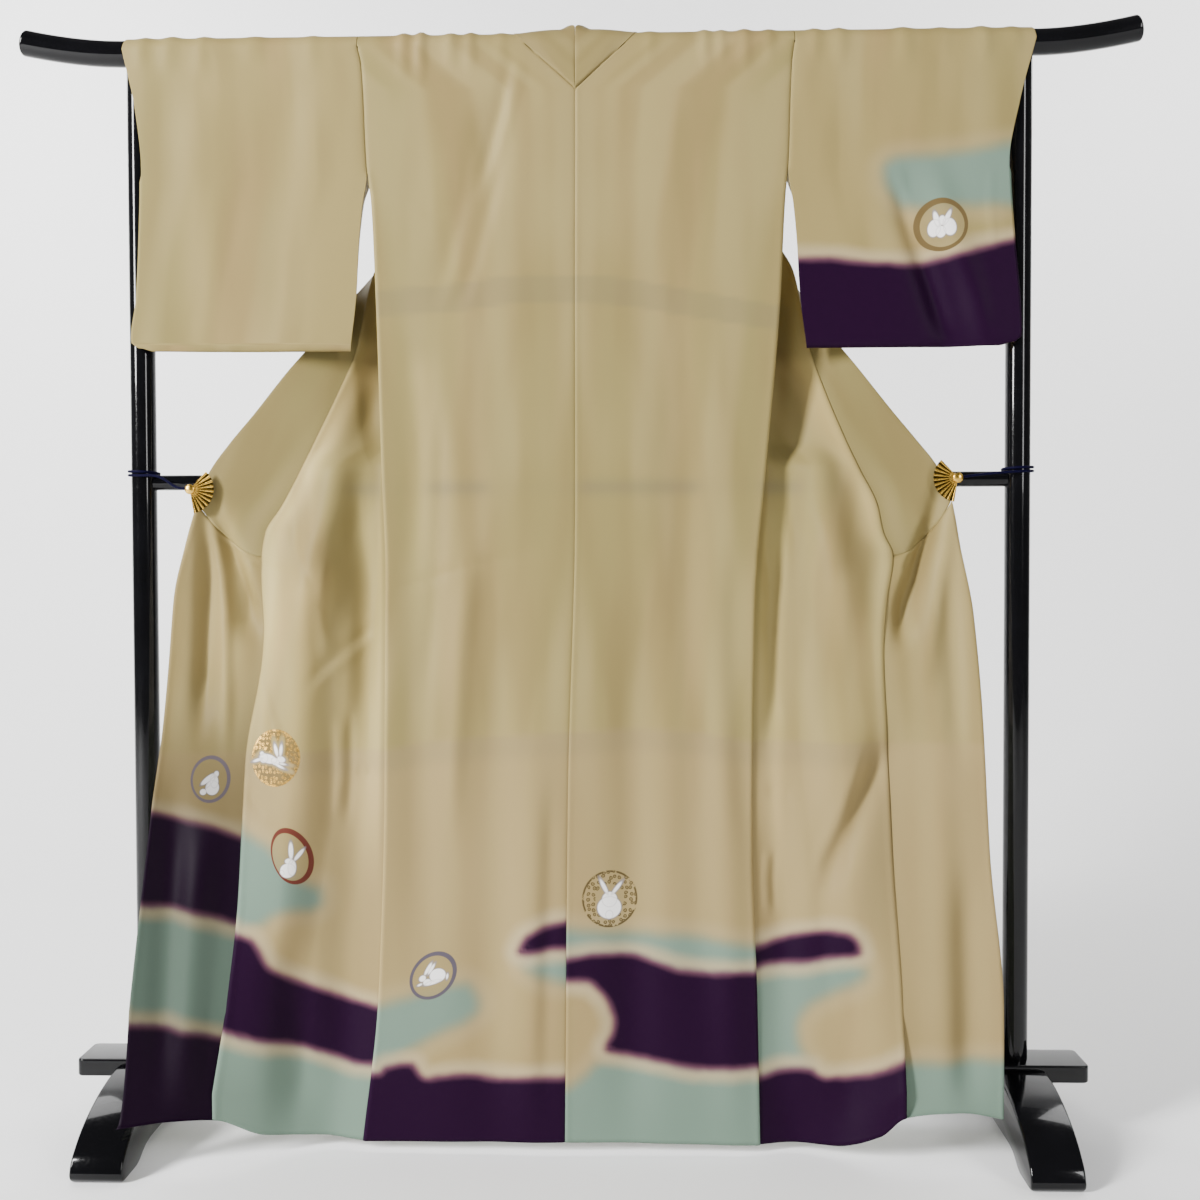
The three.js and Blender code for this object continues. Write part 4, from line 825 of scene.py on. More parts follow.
def sleeve_sheet(side, z_at, u, far):
    """The near or far sheet of a sleeve, one row for each height."""
    z_at = z_at[:, None]
    inner = read(side["back"], 1, np.maximum(z_at, ARMHOLE[0])) + read(SLEEVE_HANG, 1, z_at)
    outer = read(side["cuff"], 1, z_at)
    if far:
        inner = inner + 5 * (1 - ease(1395, 1430, z_at))
        held = SLEEVE["cuff_bottom"]
        step = read(SLEEVE_HANG, 5, held) - read(side["cuff"], 1, held)
        eased = 1 - ease(held, 1500, z_at)
        outer = np.where(z_at > held, read(SLEEVE_HANG, 5, z_at) - step * eased, outer)
    pinch = ease(0.5 if far else 0.7, 0.92, u)[None, :]
    y = mix(read(SLEEVE_HANG, 3 if far else 2, z_at), read(SLEEVE_HANG, 6 if far else 4, z_at), pinch)
    x = side["sign"] * mix(inner, outer, u[None, :])
    z = np.broadcast_to(z_at, x.shape)
    hold = ((1 - ease(0.82, 0.92, u)) * ease(0, 0.12, u))[None, :]
    if far:
        y = y + 0.5 * (fold_depth(x, z) + crease_depth(x, z)) * hold + puckered(x, z)
    else:
        y = y + fold_depth(x, z) * hold + crease_depth(x, z) * (1 - ease(0.9, 0.97, u))[None, :]
        y = y - puckered(x, z)
        from_inner = np.abs(x - x[:, :1])
        y = y + 1.3 * looks().groove / MM * np.exp(-from_inner / 2.8) * ease(*ARMHOLE, z)
    return x, y, z


def sewn_fold(grid, pairs, low_half, sign):
    """Points and quads of the rounded fold that joins the ends of the near and far rows in pairs."""
    rows, across = grid.shape[:2]
    added = []
    columns = []
    for step, (near, far) in enumerate(pairs):
        swell = SLEEVE["fold_radius"] * min(1.0, step * 6 * DETAIL / 12)
        past = step - (len(pairs) - low_half) + 1
        if past > 0:
            swell *= 1 - past / (low_half + 1)
        column = [near * across + across - 1]
        for share in FOLD_SHARES:
            column.append(rows * across + len(added))
            outward = np.array([sign * swell * math.sin(math.pi * share), 0, 0])
            added.append(mix(grid[near, -1], grid[far, -1], share) + outward)
        columns.append([*column, far * across + across - 1])
    return np.array(added), quads_of(np.array(columns))


def sleeve_shell(side):
    """Points, faces and cloth coordinates of a sleeve: a loop over the rail, closed below the cuff."""
    sign = side["sign"]
    u = spread(330, 6)
    levels = np.append(rail_levels(SLEEVE["fold_from"], 6), SLEEVE["cuff_bottom"])
    levels = np.sort(levels)[::-1]
    near = sleeve_sheet(side, levels[::-1], u, False)
    far = sleeve_sheet(side, levels, u, True)
    angle = np.linspace(0, math.pi, int(24 / DETAIL) + 3)[1:-1, None]
    reach = WRAP + pucker(near[0][-1], np.zeros_like(u))[None, :]
    arc_x = mix(near[0][-1][None, :], far[0][0][None, :], angle / math.pi)
    arc = (arc_x, -reach * np.cos(angle), RAIL["z"] + reach * np.sin(angle))
    turn = np.linspace(0, math.pi, 10)[1:-1, None]
    bend = ease(0.9, 1, u)[None, :]
    start = [part[0][None, :] for part in near]
    end = [part[-1][None, :] for part in far]
    middle_y = (start[1] + end[1]) / 2
    low_x = mix(end[0], start[0], turn / math.pi) - sign * 8 * bend * np.sin(turn)
    low_y = middle_y + (end[1] - start[1]) / 2 * np.cos(turn)
    low_z = SLEEVE["fold_from"] - (SLEEVE["fold_from"] - SLEEVE["bottom"] - 5 * bend) * np.sin(turn)
    x, y, z = stack(near, arc, far, (low_x, low_y, low_z))
    rows, across = x.shape
    index = np.arange(rows * across).reshape(rows, across)
    following = np.roll(index, -1, axis=0)
    quads = np.stack(
        [index[:, :-1], index[:, 1:], following[:, 1:], following[:, :-1]], axis=-1).reshape(-1, 4)
    is_far = np.zeros((rows, across))
    is_far[len(levels) + len(angle) // 2:] = 1
    is_far[rows - len(turn) // 2:] = 0
    # The sewn outer edge below the cuff, a rounded fold that runs into the bottom corner.
    far_from = len(levels) + len(angle)
    cuff_row = int(np.argmin(np.abs(levels - SLEEVE["cuff_bottom"])))
    pairs = [(len(levels) - 1 - i, far_from + i) for i in range(cuff_row, len(levels))]
    low_half = len(turn) // 2
    pairs += [(rows - 1 - i, far_from + len(levels) + i) for i in range(low_half)]
    grid = np.stack([x, y, z], axis=-1)
    added, fold_quads = sewn_fold(grid, pairs, low_half, sign)
    quads = np.concatenate([quads, fold_quads])
    if sign < 0:
        quads = quads[:, ::-1]
    middle = across // 2
    down = np.hypot(np.diff(y[:, middle]), np.diff(z[:, middle]))
    length = np.cumsum(np.concatenate([[0], down]))
    uv = np.stack([np.abs(x - x[:, :1]), np.broadcast_to(length[:, None], x.shape)], axis=-1)
    extra = np.array([mix(uv[a, -1], uv[b, -1], share) for a, b in pairs for share in FOLD_SHARES])
    return (
        np.concatenate([grid.reshape(-1, 3), added]), quads,
        np.concatenate([uv.reshape(-1, 2), extra]),
        np.concatenate([is_far.reshape(-1), np.full(len(added), 0.5)]),
    )


def quads_of(index):
    """Four-sided faces between neighbouring rows and columns of point numbers."""
    return np.stack([index[:-1, :-1], index[1:, :-1], index[1:, 1:], index[:-1, 1:]], axis=-1).reshape(-1, 4)


def cloth_uv(x, y, z):
    """Distances along the cloth itself, across and down, in millimetres."""
    p = np.stack([x, y, z], axis=-1)
    across = np.linalg.norm(np.diff(p, axis=1), axis=-1)
    down = np.linalg.norm(np.diff(p, axis=0), axis=-1)
    u = np.concatenate([np.zeros((len(x), 1)), np.cumsum(across, axis=1)], axis=1)
    v = np.concatenate([np.zeros((1, x.shape[1])), np.cumsum(down, axis=0)], axis=0)
    return np.stack([u, -v], axis=-1)


def rounded_outline(points, each=6):
    """A closed outline with its corners eased."""
    p = np.asarray(points, float)
    before = np.roll(p, 1, axis=0)
    after = np.roll(p, -1, axis=0)
    later = np.roll(p, -2, axis=0)
    t = (np.arange(each) / each)[None, :, None]
    a = p[:, None]
    b = after[:, None]
    ta = 0.4 * (after - before)[:, None]
    tb = 0.4 * (later - p)[:, None]
    t2 = t * t
    t3 = t2 * t
    curve = (2 * t3 - 3 * t2 + 1) * a + (t3 - 2 * t2 + t) * ta + (3 * t2 - 2 * t3) * b + (t3 - t2) * tb
    return curve.reshape(-1, 2)


def dyed_depth(x, z, outlines):
    """How far inside the dyed outlines a point lies; negative outside."""
    best = np.full(x.shape, -float(DYE_REACH))
    for outline in outlines:
        ring = rounded_outline(outline)
        following = np.roll(ring, -1, axis=0)
        nearest = np.full(x.shape, 1e9)
        inside = np.zeros(x.shape, bool)
        for (ax, az), (bx, bz) in zip(ring, following):
            dx = bx - ax
            dz = bz - az
            size = max(dx * dx + dz * dz, 1e-9)
            t = np.clip(((x - ax) * dx + (z - az) * dz) / size, 0, 1)
            nearest = np.minimum(nearest, np.hypot(x - ax - t * dx, z - az - t * dz))
            crosses = (az > z) != (bz > z)
            inside ^= crosses & (x < ax + (z - az) * dx / (dz if abs(dz) > 1e-9 else 1e-9))
        best = np.maximum(best, np.where(inside, nearest, -nearest))
    return np.clip(best, -DYE_REACH, DYE_REACH)


def fold_share(rows, x, z):
    """How strongly the folds listed in the rows tone each point with the table's painted highlight or shade.
    """
    total = np.zeros(len(x))
    for width, strength, points in rows:
        off, along = to_line(x, z, points)
        share = strength * bell(off, width) * ease(0, 0.12, along)
        total = np.maximum(total, share * (1 - ease(0.6, 1, along)))
    return total


def painted_light_and_shade(name, x, z):
    """Painted highlights on rolled edges and beside each back's edge; painted shade at a seam, lower left
    okumi, collars.
    """
    side = LEFT if name.endswith("left") else RIGHT
    if name.startswith("front"):
        inward = read(side["seam"], 1, z) - np.abs(x)
        beside = np.abs(x) - read(side["back"], 1, z)
        # Painted highlight along the long seam's rolled lip, and a painted strip of light beside the back's
        # edge.
        rim = 0.85 * bell(inward - 14, 20) * ease(500, 760, z) * (1 - ease(1290, 1340, z))
        band = 0.5 * ease(4, 12, beside) * (1 - ease(34, 54, beside))
        band = band * (1 - ease(880, 990, z)) * ease(360, 520, z)
        # A painted dark line of shade right at the seam.
        return np.maximum(rim, band) - 0.9 * bell(inward, 1.4) * ease(300, 500, z)
    if name.startswith("back"):
        inward = read(side["back"], 1, z) - np.abs(x)
        # A painted highlight along the back's rolled side edge.
        return 0.5 * np.exp(-np.abs(inward) / 2.4) * (1 - ease(1400, 1430, z))
    if name == "okumi_left":
        # The lower left okumi painted darker, as shade.
        return -0.75 * (1 - ease(500, 760, z))
    # The collars painted a little darker, as shade.
    return 0 * x - (0.2 if name.startswith("collar") else 0)


def show_through(x, z, is_back):
    """Painted shade where the tuck, the hem lining's edge and the middle rail show through the silk as a
    darker tone.
    """
    touch = sum(ease(a - 22, a + 10, x) * (1 - ease(b - 10, b + 22, x)) for a, b in RAIL_TOUCHES)
    shade = bell(z - 963, 12) * (0.12 + 0.75 * touch)
    below = read(LINING_EDGE, 1, x) - z
    shade = shade + 0.4 * ease(-3, 3, below) * (1 - ease(20, 46, below))
    if is_back:
        shade = shade + 0.6 * ease(-3, 3, read(TUCK_TOP, 1, x) - z) * ease(-3, 3, z - read(TUCK_BOTTOM, 1, x))
    return np.clip(shade, 0, 1.2)


# Shader nodes.
class Net:
    """Adds nodes to a tree and joins them."""

    def __init__(self, tree):
        self.tree = tree

    def node(self, kind, *inputs, out=0, **settings):
        node = self.tree.nodes.new(kind)
        for key, value in settings.items():
            setattr(node, key, value)
        for place, value in inputs:
            self.put(node.inputs[place], value)
        return node.outputs[out] if out is not None else node

    def put(self, socket, value):
        if isinstance(value, bpy.types.NodeSocket):
            self.tree.links.new(value, socket)
        elif value is not None:
            if socket.type == "RGBA" and len(value) == 3:
                value = (*value, 1)
            socket.default_value = value

    def math(self, operation, *values, clamp=False):
        return self.node("ShaderNodeMath", *enumerate(values), operation=operation, use_clamp=clamp)

    def vector(self, operation, *values, out=0):
        return self.node("ShaderNodeVectorMath", *enumerate(values), operation=operation, out=out)

    def blend(self, factor, a, b, kind="MIX"):
        return self.node(
            "ShaderNodeMix", (0, factor), (6, a), (7, b), out=2, data_type="RGBA", blend_type=kind)

    def rise(self, value, low, high, start=0.0, end=1.0):
        return self.node(
            "ShaderNodeMapRange", (0, value), (1, low), (2, high), (3, start), (4, end),
            interpolation_type="SMOOTHSTEP")

    def band(self, value, low, high, soft):
        rising = self.rise(value, low - soft, low + soft)
        falling = self.rise(value, high - soft, high + soft, 1.0, 0.0)
        return self.math("MULTIPLY", rising, falling)

    def noise(self, vector, scale, detail=2.0, roughness=0.5):
        return self.node(
            "ShaderNodeTexNoise", ("Vector", vector), ("Scale", scale), ("Detail", detail),
            ("Roughness", roughness))

    def group(self, tree, *inputs, out=0):
        return self.node("ShaderNodeGroup", *inputs, out=out, node_tree=tree)

    def attribute(self, name, out="Fac"):
        return self.node("ShaderNodeAttribute", out=out, attribute_name=name)

    def turned_back(self, vector, angle):
        return self.node(
            "ShaderNodeVectorRotate", ("Vector", vector), ("Angle", angle), rotation_type="Z_AXIS",
            invert=True)

    def bump(self, shader, height, strength, distance, invert=False):
        relief = self.node(
            "ShaderNodeBump", ("Height", height), ("Strength", strength), ("Distance", distance),
            invert=invert)
        self.put(shader.inputs["Normal"], relief)


def group_of(name, inputs, outputs, fill):
    """A shader node group, built once: inputs and outputs are (name, kind, default)."""
    tree = bpy.data.node_groups.get(name)
    if tree:
        return tree
    tree = bpy.data.node_groups.new(name, "ShaderNodeTree")
    kinds = {"value": "NodeSocketFloat", "vector": "NodeSocketVector", "colour": "NodeSocketColor"}
    for label, kind, default in inputs:
        socket = tree.interface.new_socket(label, in_out="INPUT", socket_type=kinds[kind])
        if default is not None:
            socket.default_value = (*default, 1) if kind == "colour" else default
    for label, kind in outputs:
        tree.interface.new_socket(label, in_out="OUTPUT", socket_type=kinds[kind])
    source = tree.nodes.new("NodeGroupInput")
    sink = tree.nodes.new("NodeGroupOutput")
    net = Net(tree)
    for label, socket in fill(net, source.outputs).items():
        tree.links.new(socket, sink.inputs[label])
    return tree


def crepe_weave():
    """The crepe's relief and grain, and a slow drift."""
    def fill(net, given):
        long = net.vector("MULTIPLY", given["Vector"], (1.0, 0.42, 1.0))
        grain = net.noise(long, given["Scale"], 2.0, 0.6)
        cross = net.noise(net.vector("MULTIPLY", given["Vector"], (0.35, 1.0, 1.0)), given["Scale"], 1.0)
        height = net.math("ADD", net.math("MULTIPLY", grain, 0.6), net.math("MULTIPLY", cross, 0.4))
        slow = net.noise(given["Vector"], 9.0, 3.0, 0.55)
        return {"Height": height, "Grain": grain, "Drift": slow}
    return group_of(
        "Crepe weave", (("Vector", "vector", None), ("Scale", "value", 1400.0)),
        (("Height", "value"), ("Grain", "value"), ("Drift", "value")), fill)


def shaded_dye():
    """Two dyed areas with soft edges and a pale rim over the silk's own colour."""
    def fill(net, given):
        purple = given["Purple depth"]
        celadon = given["Celadon depth"]
        wander = net.math("MULTIPLY", net.math("SUBTRACT", given["Drift"], 0.5), 16.0)
        purple = net.math("ADD", purple, wander)
        celadon = net.math("ADD", celadon, wander)
        pale = net.band(celadon, -20.0, -2.0, 13.0)
        colour = net.blend(net.math("MULTIPLY", pale, 0.25), given["Ground"], given["Halo"])
        colour = net.blend(net.rise(celadon, -14.0, 16.0), colour, given["Celadon"])
        pale = net.band(purple, -17.0, 2.0, 11.0)
        colour = net.blend(net.math("MULTIPLY", pale, 0.75), colour, given["Halo"])
        colour = net.blend(net.rise(purple, -10.0, 5.0), colour, given["Mauve"])
        colour = net.blend(net.rise(purple, -5.0, 11.0), colour, given["Deep"])
        return {"Colour": colour}
    return group_of(
        "Shaded dye",
        (("Purple depth", "value", -60.0), ("Celadon depth", "value", -60.0), ("Drift", "value", 0.5),
         ("Ground", "colour", (0.5, 0.4, 0.3)), ("Halo", "colour", (0.6, 0.5, 0.4)),
         ("Celadon", "colour", (0.3, 0.4, 0.3)), ("Mauve", "colour", (0.3, 0.1, 0.2)),
         ("Deep", "colour", (0.03, 0.01, 0.05))),
        (("Colour", "colour"),), fill)


def oval():
    """The distance to an oval's edge, negative inside."""
    def fill(net, given):
        place = net.vector("SUBTRACT", given["Vector"], given["Centre"])
        shared = net.vector("DIVIDE", net.turned_back(place, given["Turn"]), given["Size"])
        far = net.vector("LENGTH", shared, out="Value")
        sizes = net.node("ShaderNodeSeparateXYZ", (0, given["Size"]), out=None)
        least = net.math("MINIMUM", sizes.outputs[0], sizes.outputs[1])
        return {"Distance": net.math("MULTIPLY", net.math("SUBTRACT", far, 1.0), least)}
    return group_of(
        "Oval", (("Vector", "vector", None), ("Centre", "vector", None), ("Size", "vector", (1, 1, 1)),
                 ("Turn", "value", 0.0)),
        (("Distance", "value"),), fill)


def rabbit(pose):
    """A white rabbit with a fine outline, in units of its ring's radius."""
    def fill(net, given):
        distance = None
        inner = None
        for x, y, wide, high, degrees in POSES[pose]:
            one = net.group(
                oval(), ("Vector", given["Vector"]), ("Centre", (x, y, 0)), ("Size", (wide, high, 1)),
                ("Turn", math.radians(degrees)))
            drawn = net.band(one, -0.02, 0.01, 0.012)
            distance = one if distance is None else net.math("MINIMUM", distance, one)
            inner = drawn if inner is None else net.math("MAXIMUM", inner, drawn)
        body = net.rise(distance, -0.02, 0.02, 1.0, 0.0)
        inner = net.math("MULTIPLY", net.math("MULTIPLY", inner, body), 0.4)
        return {
            "Fill": body, "Distance": distance,
            "Line": net.math("MAXIMUM", inner, net.band(distance, -0.005, 0.03, 0.015)),
        }
    return group_of(
        "Rabbit " + pose, (("Vector", "vector", None),),
        (("Fill", "value"), ("Line", "value"), ("Distance", "value")), fill)


def ring():
    """A drawn ring that is heavier on one side, and the area inside it."""
    def fill(net, given):
        far = net.vector("LENGTH", given["Vector"], out="Value")
        parts = net.node("ShaderNodeSeparateXYZ", (0, given["Vector"]), out=None)
        angle = net.math("ARCTAN2", parts.outputs[1], parts.outputs[0])
        lean = net.math("COSINE", net.math("SUBTRACT", angle, given["Heavy side"]))
        half = net.math(
            "MULTIPLY", given["Width"], net.math("ADD", 1.0, net.math("MULTIPLY", lean, given["Lean"])))
        off = net.math("ABSOLUTE", net.math("SUBTRACT", far, 1.0))
        return {"Mask": net.rise(net.math("SUBTRACT", off, half), -0.012, 0.02, 1.0, 0.0),
                "Inside": net.rise(far, 0.98, 1.02, 1.0, 0.0)}
    return group_of(
        "Drawn ring", (("Vector", "vector", None), ("Width", "value", 0.05), ("Lean", "value", 0.4),
                       ("Heavy side", "value", 0.0)),
        (("Mask", "value"), ("Inside", "value")), fill)


def scroll_work():
    """Small flowers, curls and dots that fill a roundel."""
    def fill(net, given):
        far = net.vector("LENGTH", given["Vector"], out="Value")
        bent = net.vector(
            "ADD", given["Vector"],
            net.vector("MULTIPLY", net.node(
                "ShaderNodeTexNoise", ("Vector", given["Vector"]), ("Scale", 3.0), out="Color"),
                (0.12, 0.12, 0)))
        cells = net.node(
            "ShaderNodeTexVoronoi", ("Vector", bent), ("Scale", given["Scale"]), ("Randomness", 0.55),
            out=None, voronoi_dimensions="2D")
        d = cells.outputs["Distance"]
        petals = net.band(d, 0.16, 0.34, 0.03)
        core = net.rise(d, 0.06, 0.11, 1.0, 0.0)
        broken = net.rise(net.noise(given["Vector"], 3.6, 2.0), 0.44, 0.5)
        rim = net.math("MULTIPLY", net.band(far, 0.9, 0.97, 0.012), broken)
        marks = net.math("MAXIMUM", net.math("MAXIMUM", petals, core), rim)
        beyond = net.rise(net.math("SUBTRACT", far, given["Inner"]), -0.02, 0.02)
        within = net.math("MULTIPLY", beyond, net.rise(far, 0.95, 0.99, 1.0, 0.0))
        return {"Marks": net.math("MULTIPLY", marks, within), "Field": within}
    return group_of(
        "Scroll work", (("Vector", "vector", None), ("Scale", "value", 4.2), ("Inner", "value", 0.0)),
        (("Marks", "value"), ("Field", "value")), fill)


def draw_motif(net, colour, kind, pose, place, animal_place):
    """Puts one motif over a colour; also gives the mask of its metal foil."""
    look = MOTIF_LOOKS[kind]
    foil = None
    animal = net.group(rabbit(pose), ("Vector", animal_place), out=None)
    if "width" in look:
        drawn = net.group(
            ring(), ("Vector", place), ("Width", look["width"]), ("Lean", look["lean"]),
            ("Heavy side", look["heavy"]), out=None)
        colour = net.blend(net.math("MULTIPLY", drawn.outputs["Inside"], 0.75), colour, RING_GROUND)
        colour = net.blend(drawn.outputs["Mask"], colour, look["ink"])
    else:
        work = net.group(
            scroll_work(), ("Vector", place), ("Scale", look["scale"]), ("Inner", look["inner"]), out=None)
        marks = work.outputs["Marks"]
        ink = look["ink"]
        if "field" in look:
            clear = net.rise(animal.outputs["Distance"], 0.05, 0.12)
            field = net.math("MULTIPLY", net.math("MULTIPLY", work.outputs["Field"], clear), 0.8)
            colour = net.blend(field, colour, look["field"])
            marks = net.math("MULTIPLY", marks, clear)
            flecks = net.rise(net.noise(place, 11.0, 3.0, 0.7), 0.42, 0.6)
            ink = net.blend(flecks, tuple(0.5 * c for c in ink), ink)
        colour = net.blend(marks, colour, ink)
        foil = net.math("MULTIPLY", marks, look["foil"])
    colour = net.blend(animal.outputs["Fill"], colour, RABBIT_WHITE)
    colour = net.blend(net.math("MULTIPLY", animal.outputs["Line"], 0.7), colour, RABBIT_LINE)
    if foil is not None:
        covered = net.math("SUBTRACT", 1.0, animal.outputs["Fill"])
        foil = net.math("MULTIPLY", foil, covered)
    return colour, foil


def new_material(name):
    """A material, its shader and a net for its nodes."""
    material = bpy.data.materials.new(name)
    material.use_nodes = True
    shader = material.node_tree.nodes["Principled BSDF"]
    return material, shader, Net(material.node_tree)


def dyed_silk(piece, motifs):
    """The dyed silk of one piece, with its motifs at their places on the cloth."""
    material, shader, net = new_material("Dyed silk " + piece)
    look = looks()
    uv = net.node("ShaderNodeTexCoord", out="UV")
    weave = net.group(crepe_weave(), ("Vector", uv), out=None)
    drift = weave.outputs["Drift"]
    along = net.vector("MULTIPLY", uv, (1.0, 0.16, 1.0))
    ground = tuple(look.ground)
    # Slow streaks of the silk's own tone, some of them painted satin sheen.
    for scale, tint, share in STREAKS_AND_SHEEN:
        band = net.rise(net.noise(along, scale, 1.5), 0.46, 0.66)
        ground = net.blend(net.math("MULTIPLY", band, share), ground, tint)
    lower = net.math("MULTIPLY", net.attribute("lower"), 0.6)
    ground = net.blend(lower, ground, LOWER_TINT)
    colour = net.group(
        shaded_dye(), ("Purple depth", net.attribute("purple")),
        ("Celadon depth", net.attribute("celadon")), ("Drift", drift), ("Ground", ground),
        ("Halo", tuple(look.halo)), ("Celadon", tuple(look.celadon)), ("Mauve", tuple(look.mauve)),
        ("Deep", tuple(look.purple)))
    foil = None
    hung = net.attribute("hung", "Vector")
    for middle_x, middle_z, wide, high, turn, kind, pose in motifs:
        place = net.vector("SUBTRACT", hung, (middle_x, middle_z, 0))
        animal = net.vector("SCALE", place, None, None, 2 / (wide + high))
        shared = net.vector("DIVIDE", net.turned_back(place, math.radians(turn)), (wide, high, 1))
        colour, metal = draw_motif(net, colour, kind, pose, shared, animal)
        if metal is not None:
            foil = metal if foil is None else net.math("MAXIMUM", foil, metal)
    # Painted shade where the tuck, the lining's edge and the middle rail show through.
    shade = net.math("MULTIPLY", net.attribute("shade"), 0.42)
    colour = net.blend(shade, colour, SHOWN_TINT)
    # Painted highlights and painted shade of the edges and folds scale the colour.
    lit = net.math("ADD", net.math("MULTIPLY", net.attribute("painted_highlight_and_shade"), 0.75), 1.0)
    colour = net.blend(1.0, colour, lit, "MULTIPLY")
    # Painted shade in the deep folds, left off the purple.
    undyed = net.rise(net.attribute("purple"), -14.0, 0.0, 0.7, 0.0)
    painted_fold_shade = net.math("MULTIPLY", net.attribute("painted_fold_shade"), undyed)
    colour = net.blend(painted_fold_shade, colour, PAINTED_FOLD_SHADE_TINT)
    darker = net.blend(1.0, colour, (0.93, 0.93, 0.93), "MULTIPLY")
    colour = net.blend(net.rise(weave.outputs["Grain"], 0.3, 0.75), darker, colour)
    net.put(shader.inputs["Base Color"], colour)
    rough = net.rise(weave.outputs["Grain"], 0.2, 0.8, 0.44, 0.56)
    if foil is not None:
        net.put(shader.inputs["Metallic"], foil)
        sparkle = net.rise(net.noise(uv, 900.0, 1.0), 0.35, 0.65, 0.16, 0.5)
        rough = net.node("ShaderNodeMix", (0, foil), (2, rough), (3, sparkle))
    net.put(shader.inputs["Roughness"], rough)
    shader.inputs["Specular IOR Level"].default_value = 0.07
    net.bump(shader, weave.outputs["Height"], 0.35, 0.0004)
    return material


def lining_silk():
    """The lining: plain silk above, the hem's own lining below."""
    material = bpy.data.materials.get("Lining silk")
    if material:
        return material
    material, shader, net = new_material("Lining silk")
    look = looks()
    uv = net.node("ShaderNodeTexCoord", out="UV")
    weave = net.group(crepe_weave(), ("Vector", uv), ("Scale", 1900.0), out=None)
    place = net.node("ShaderNodeTexCoord", out="Object")
    height = net.node("ShaderNodeSeparateXYZ", (0, place), out=2)
    edge = net.rise(height, 0.594, 0.6)
    colour = net.blend(edge, tuple(look.hem_lining), tuple(look.lining))
    colour = net.blend(net.rise(weave.outputs["Drift"], 0.3, 0.7, 0.0, 0.25), colour, (0.6, 0.56, 0.48))
    net.put(shader.inputs["Base Color"], colour)
    net.put(shader.inputs["Roughness"], net.rise(weave.outputs["Grain"], 0.2, 0.8, 0.4, 0.52))
    shader.inputs["Sheen Weight"].default_value = 0.3
    net.bump(shader, weave.outputs["Height"], 0.25, 0.0003)
    return material


def lacquer():
    """Black lacquer, polished, with the faintest waviness and dust."""
    material = bpy.data.materials.get("Black lacquer")
    if material:
        return material
    material, shader, net = new_material("Black lacquer")
    place = net.node("ShaderNodeTexCoord", out="Object")
    slow = net.noise(place, 14.0, 2.0)
    specks = net.noise(place, 260.0, 2.0)
    base = tuple(looks().lacquer)
    colour = net.blend(net.rise(slow, 0.35, 0.7), base, tuple(c * 1.6 for c in base))
    net.put(shader.inputs["Base Color"], colour)
    net.put(shader.inputs["Roughness"], net.rise(specks, 0.3, 0.8, 0.1, 0.2))
    shader.inputs["Specular IOR Level"].default_value = 0.12
    shader.inputs["Coat Weight"].default_value = 0.3
    shader.inputs["Coat Roughness"].default_value = 0.04
    net.bump(shader, slow, 0.08, 0.001)
    return material


def gilding(painted_shade):
    """Polished gilt metal; the version for the hollows is painted dark, as shade and dark reflections between
    the ribs.
    """
    name = "Gilding, painted shade" if painted_shade else "Gilding"
    material = bpy.data.materials.get(name)
    if material:
        return material
    material, shader, net = new_material(name)
    place = net.node("ShaderNodeTexCoord", out="Object")
    fine = net.noise(place, 700.0, 2.0)
    slow = net.noise(place, 60.0, 2.0)
    # Painted shade: the dark version stands for the shade and dark reflections in the hollows.
    base = tuple(c * (0.12 if painted_shade else 1.0) for c in looks().gilt)
    colour = net.blend(net.rise(slow, 0.4, 0.7, 0.0, 0.5), base, tuple(c * 0.7 for c in base))
    net.put(shader.inputs["Base Color"], colour)
    shader.inputs["Metallic"].default_value = 1.0
    net.put(shader.inputs["Roughness"], net.rise(fine, 0.3, 0.7, 0.2, 0.34))
    net.bump(shader, fine, 0.1, 0.0002)
    return material


def braid():
    """The tie cord's braid."""
    material = bpy.data.materials.get("Navy braid")
    if material:
        return material
    material, shader, net = new_material("Navy braid")
    place = net.node("ShaderNodeTexCoord", out="Object")
    plait = net.node(
        "ShaderNodeTexVoronoi", ("Vector", place), ("Scale", 900.0), ("Randomness", 0.4), out="Distance")
    base = tuple(looks().navy)
    # Darker where the bump sinks between the plaits: painted shade in the braid's grooves.
    colour = net.blend(net.rise(plait, 0.2, 0.7), base, tuple(c * 0.45 for c in base))
    net.put(shader.inputs["Base Color"], colour)
    shader.inputs["Roughness"].default_value = 0.6
    shader.inputs["Specular IOR Level"].default_value = 0.06
    net.bump(shader, plait, 0.7, 0.0006, invert=True)
    return material


# Making objects.
def link(name, data):
    """An object in the scene's own collection."""
    piece = bpy.data.objects.new(name, data)
    bpy.context.scene.collection.objects.link(piece)
    return piece


def mesh_of(name, points, faces, smooth_faces=True):
    """A mesh in metres from points in millimetres."""
    mesh = bpy.data.meshes.new(name)
    mesh.from_pydata([tuple(p) for p in np.asarray(points, float) * MM], [], [tuple(f) for f in faces])
    mesh.validate()
    if smooth_faces:
        mesh.polygons.foreach_set("use_smooth", [True] * len(mesh.polygons))
    return mesh


def settle(piece, slot, *nodes):
    """A finished piece rides with the stand and stands for its solid."""
    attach(piece, "root")
    if nodes:
        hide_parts(*nodes)


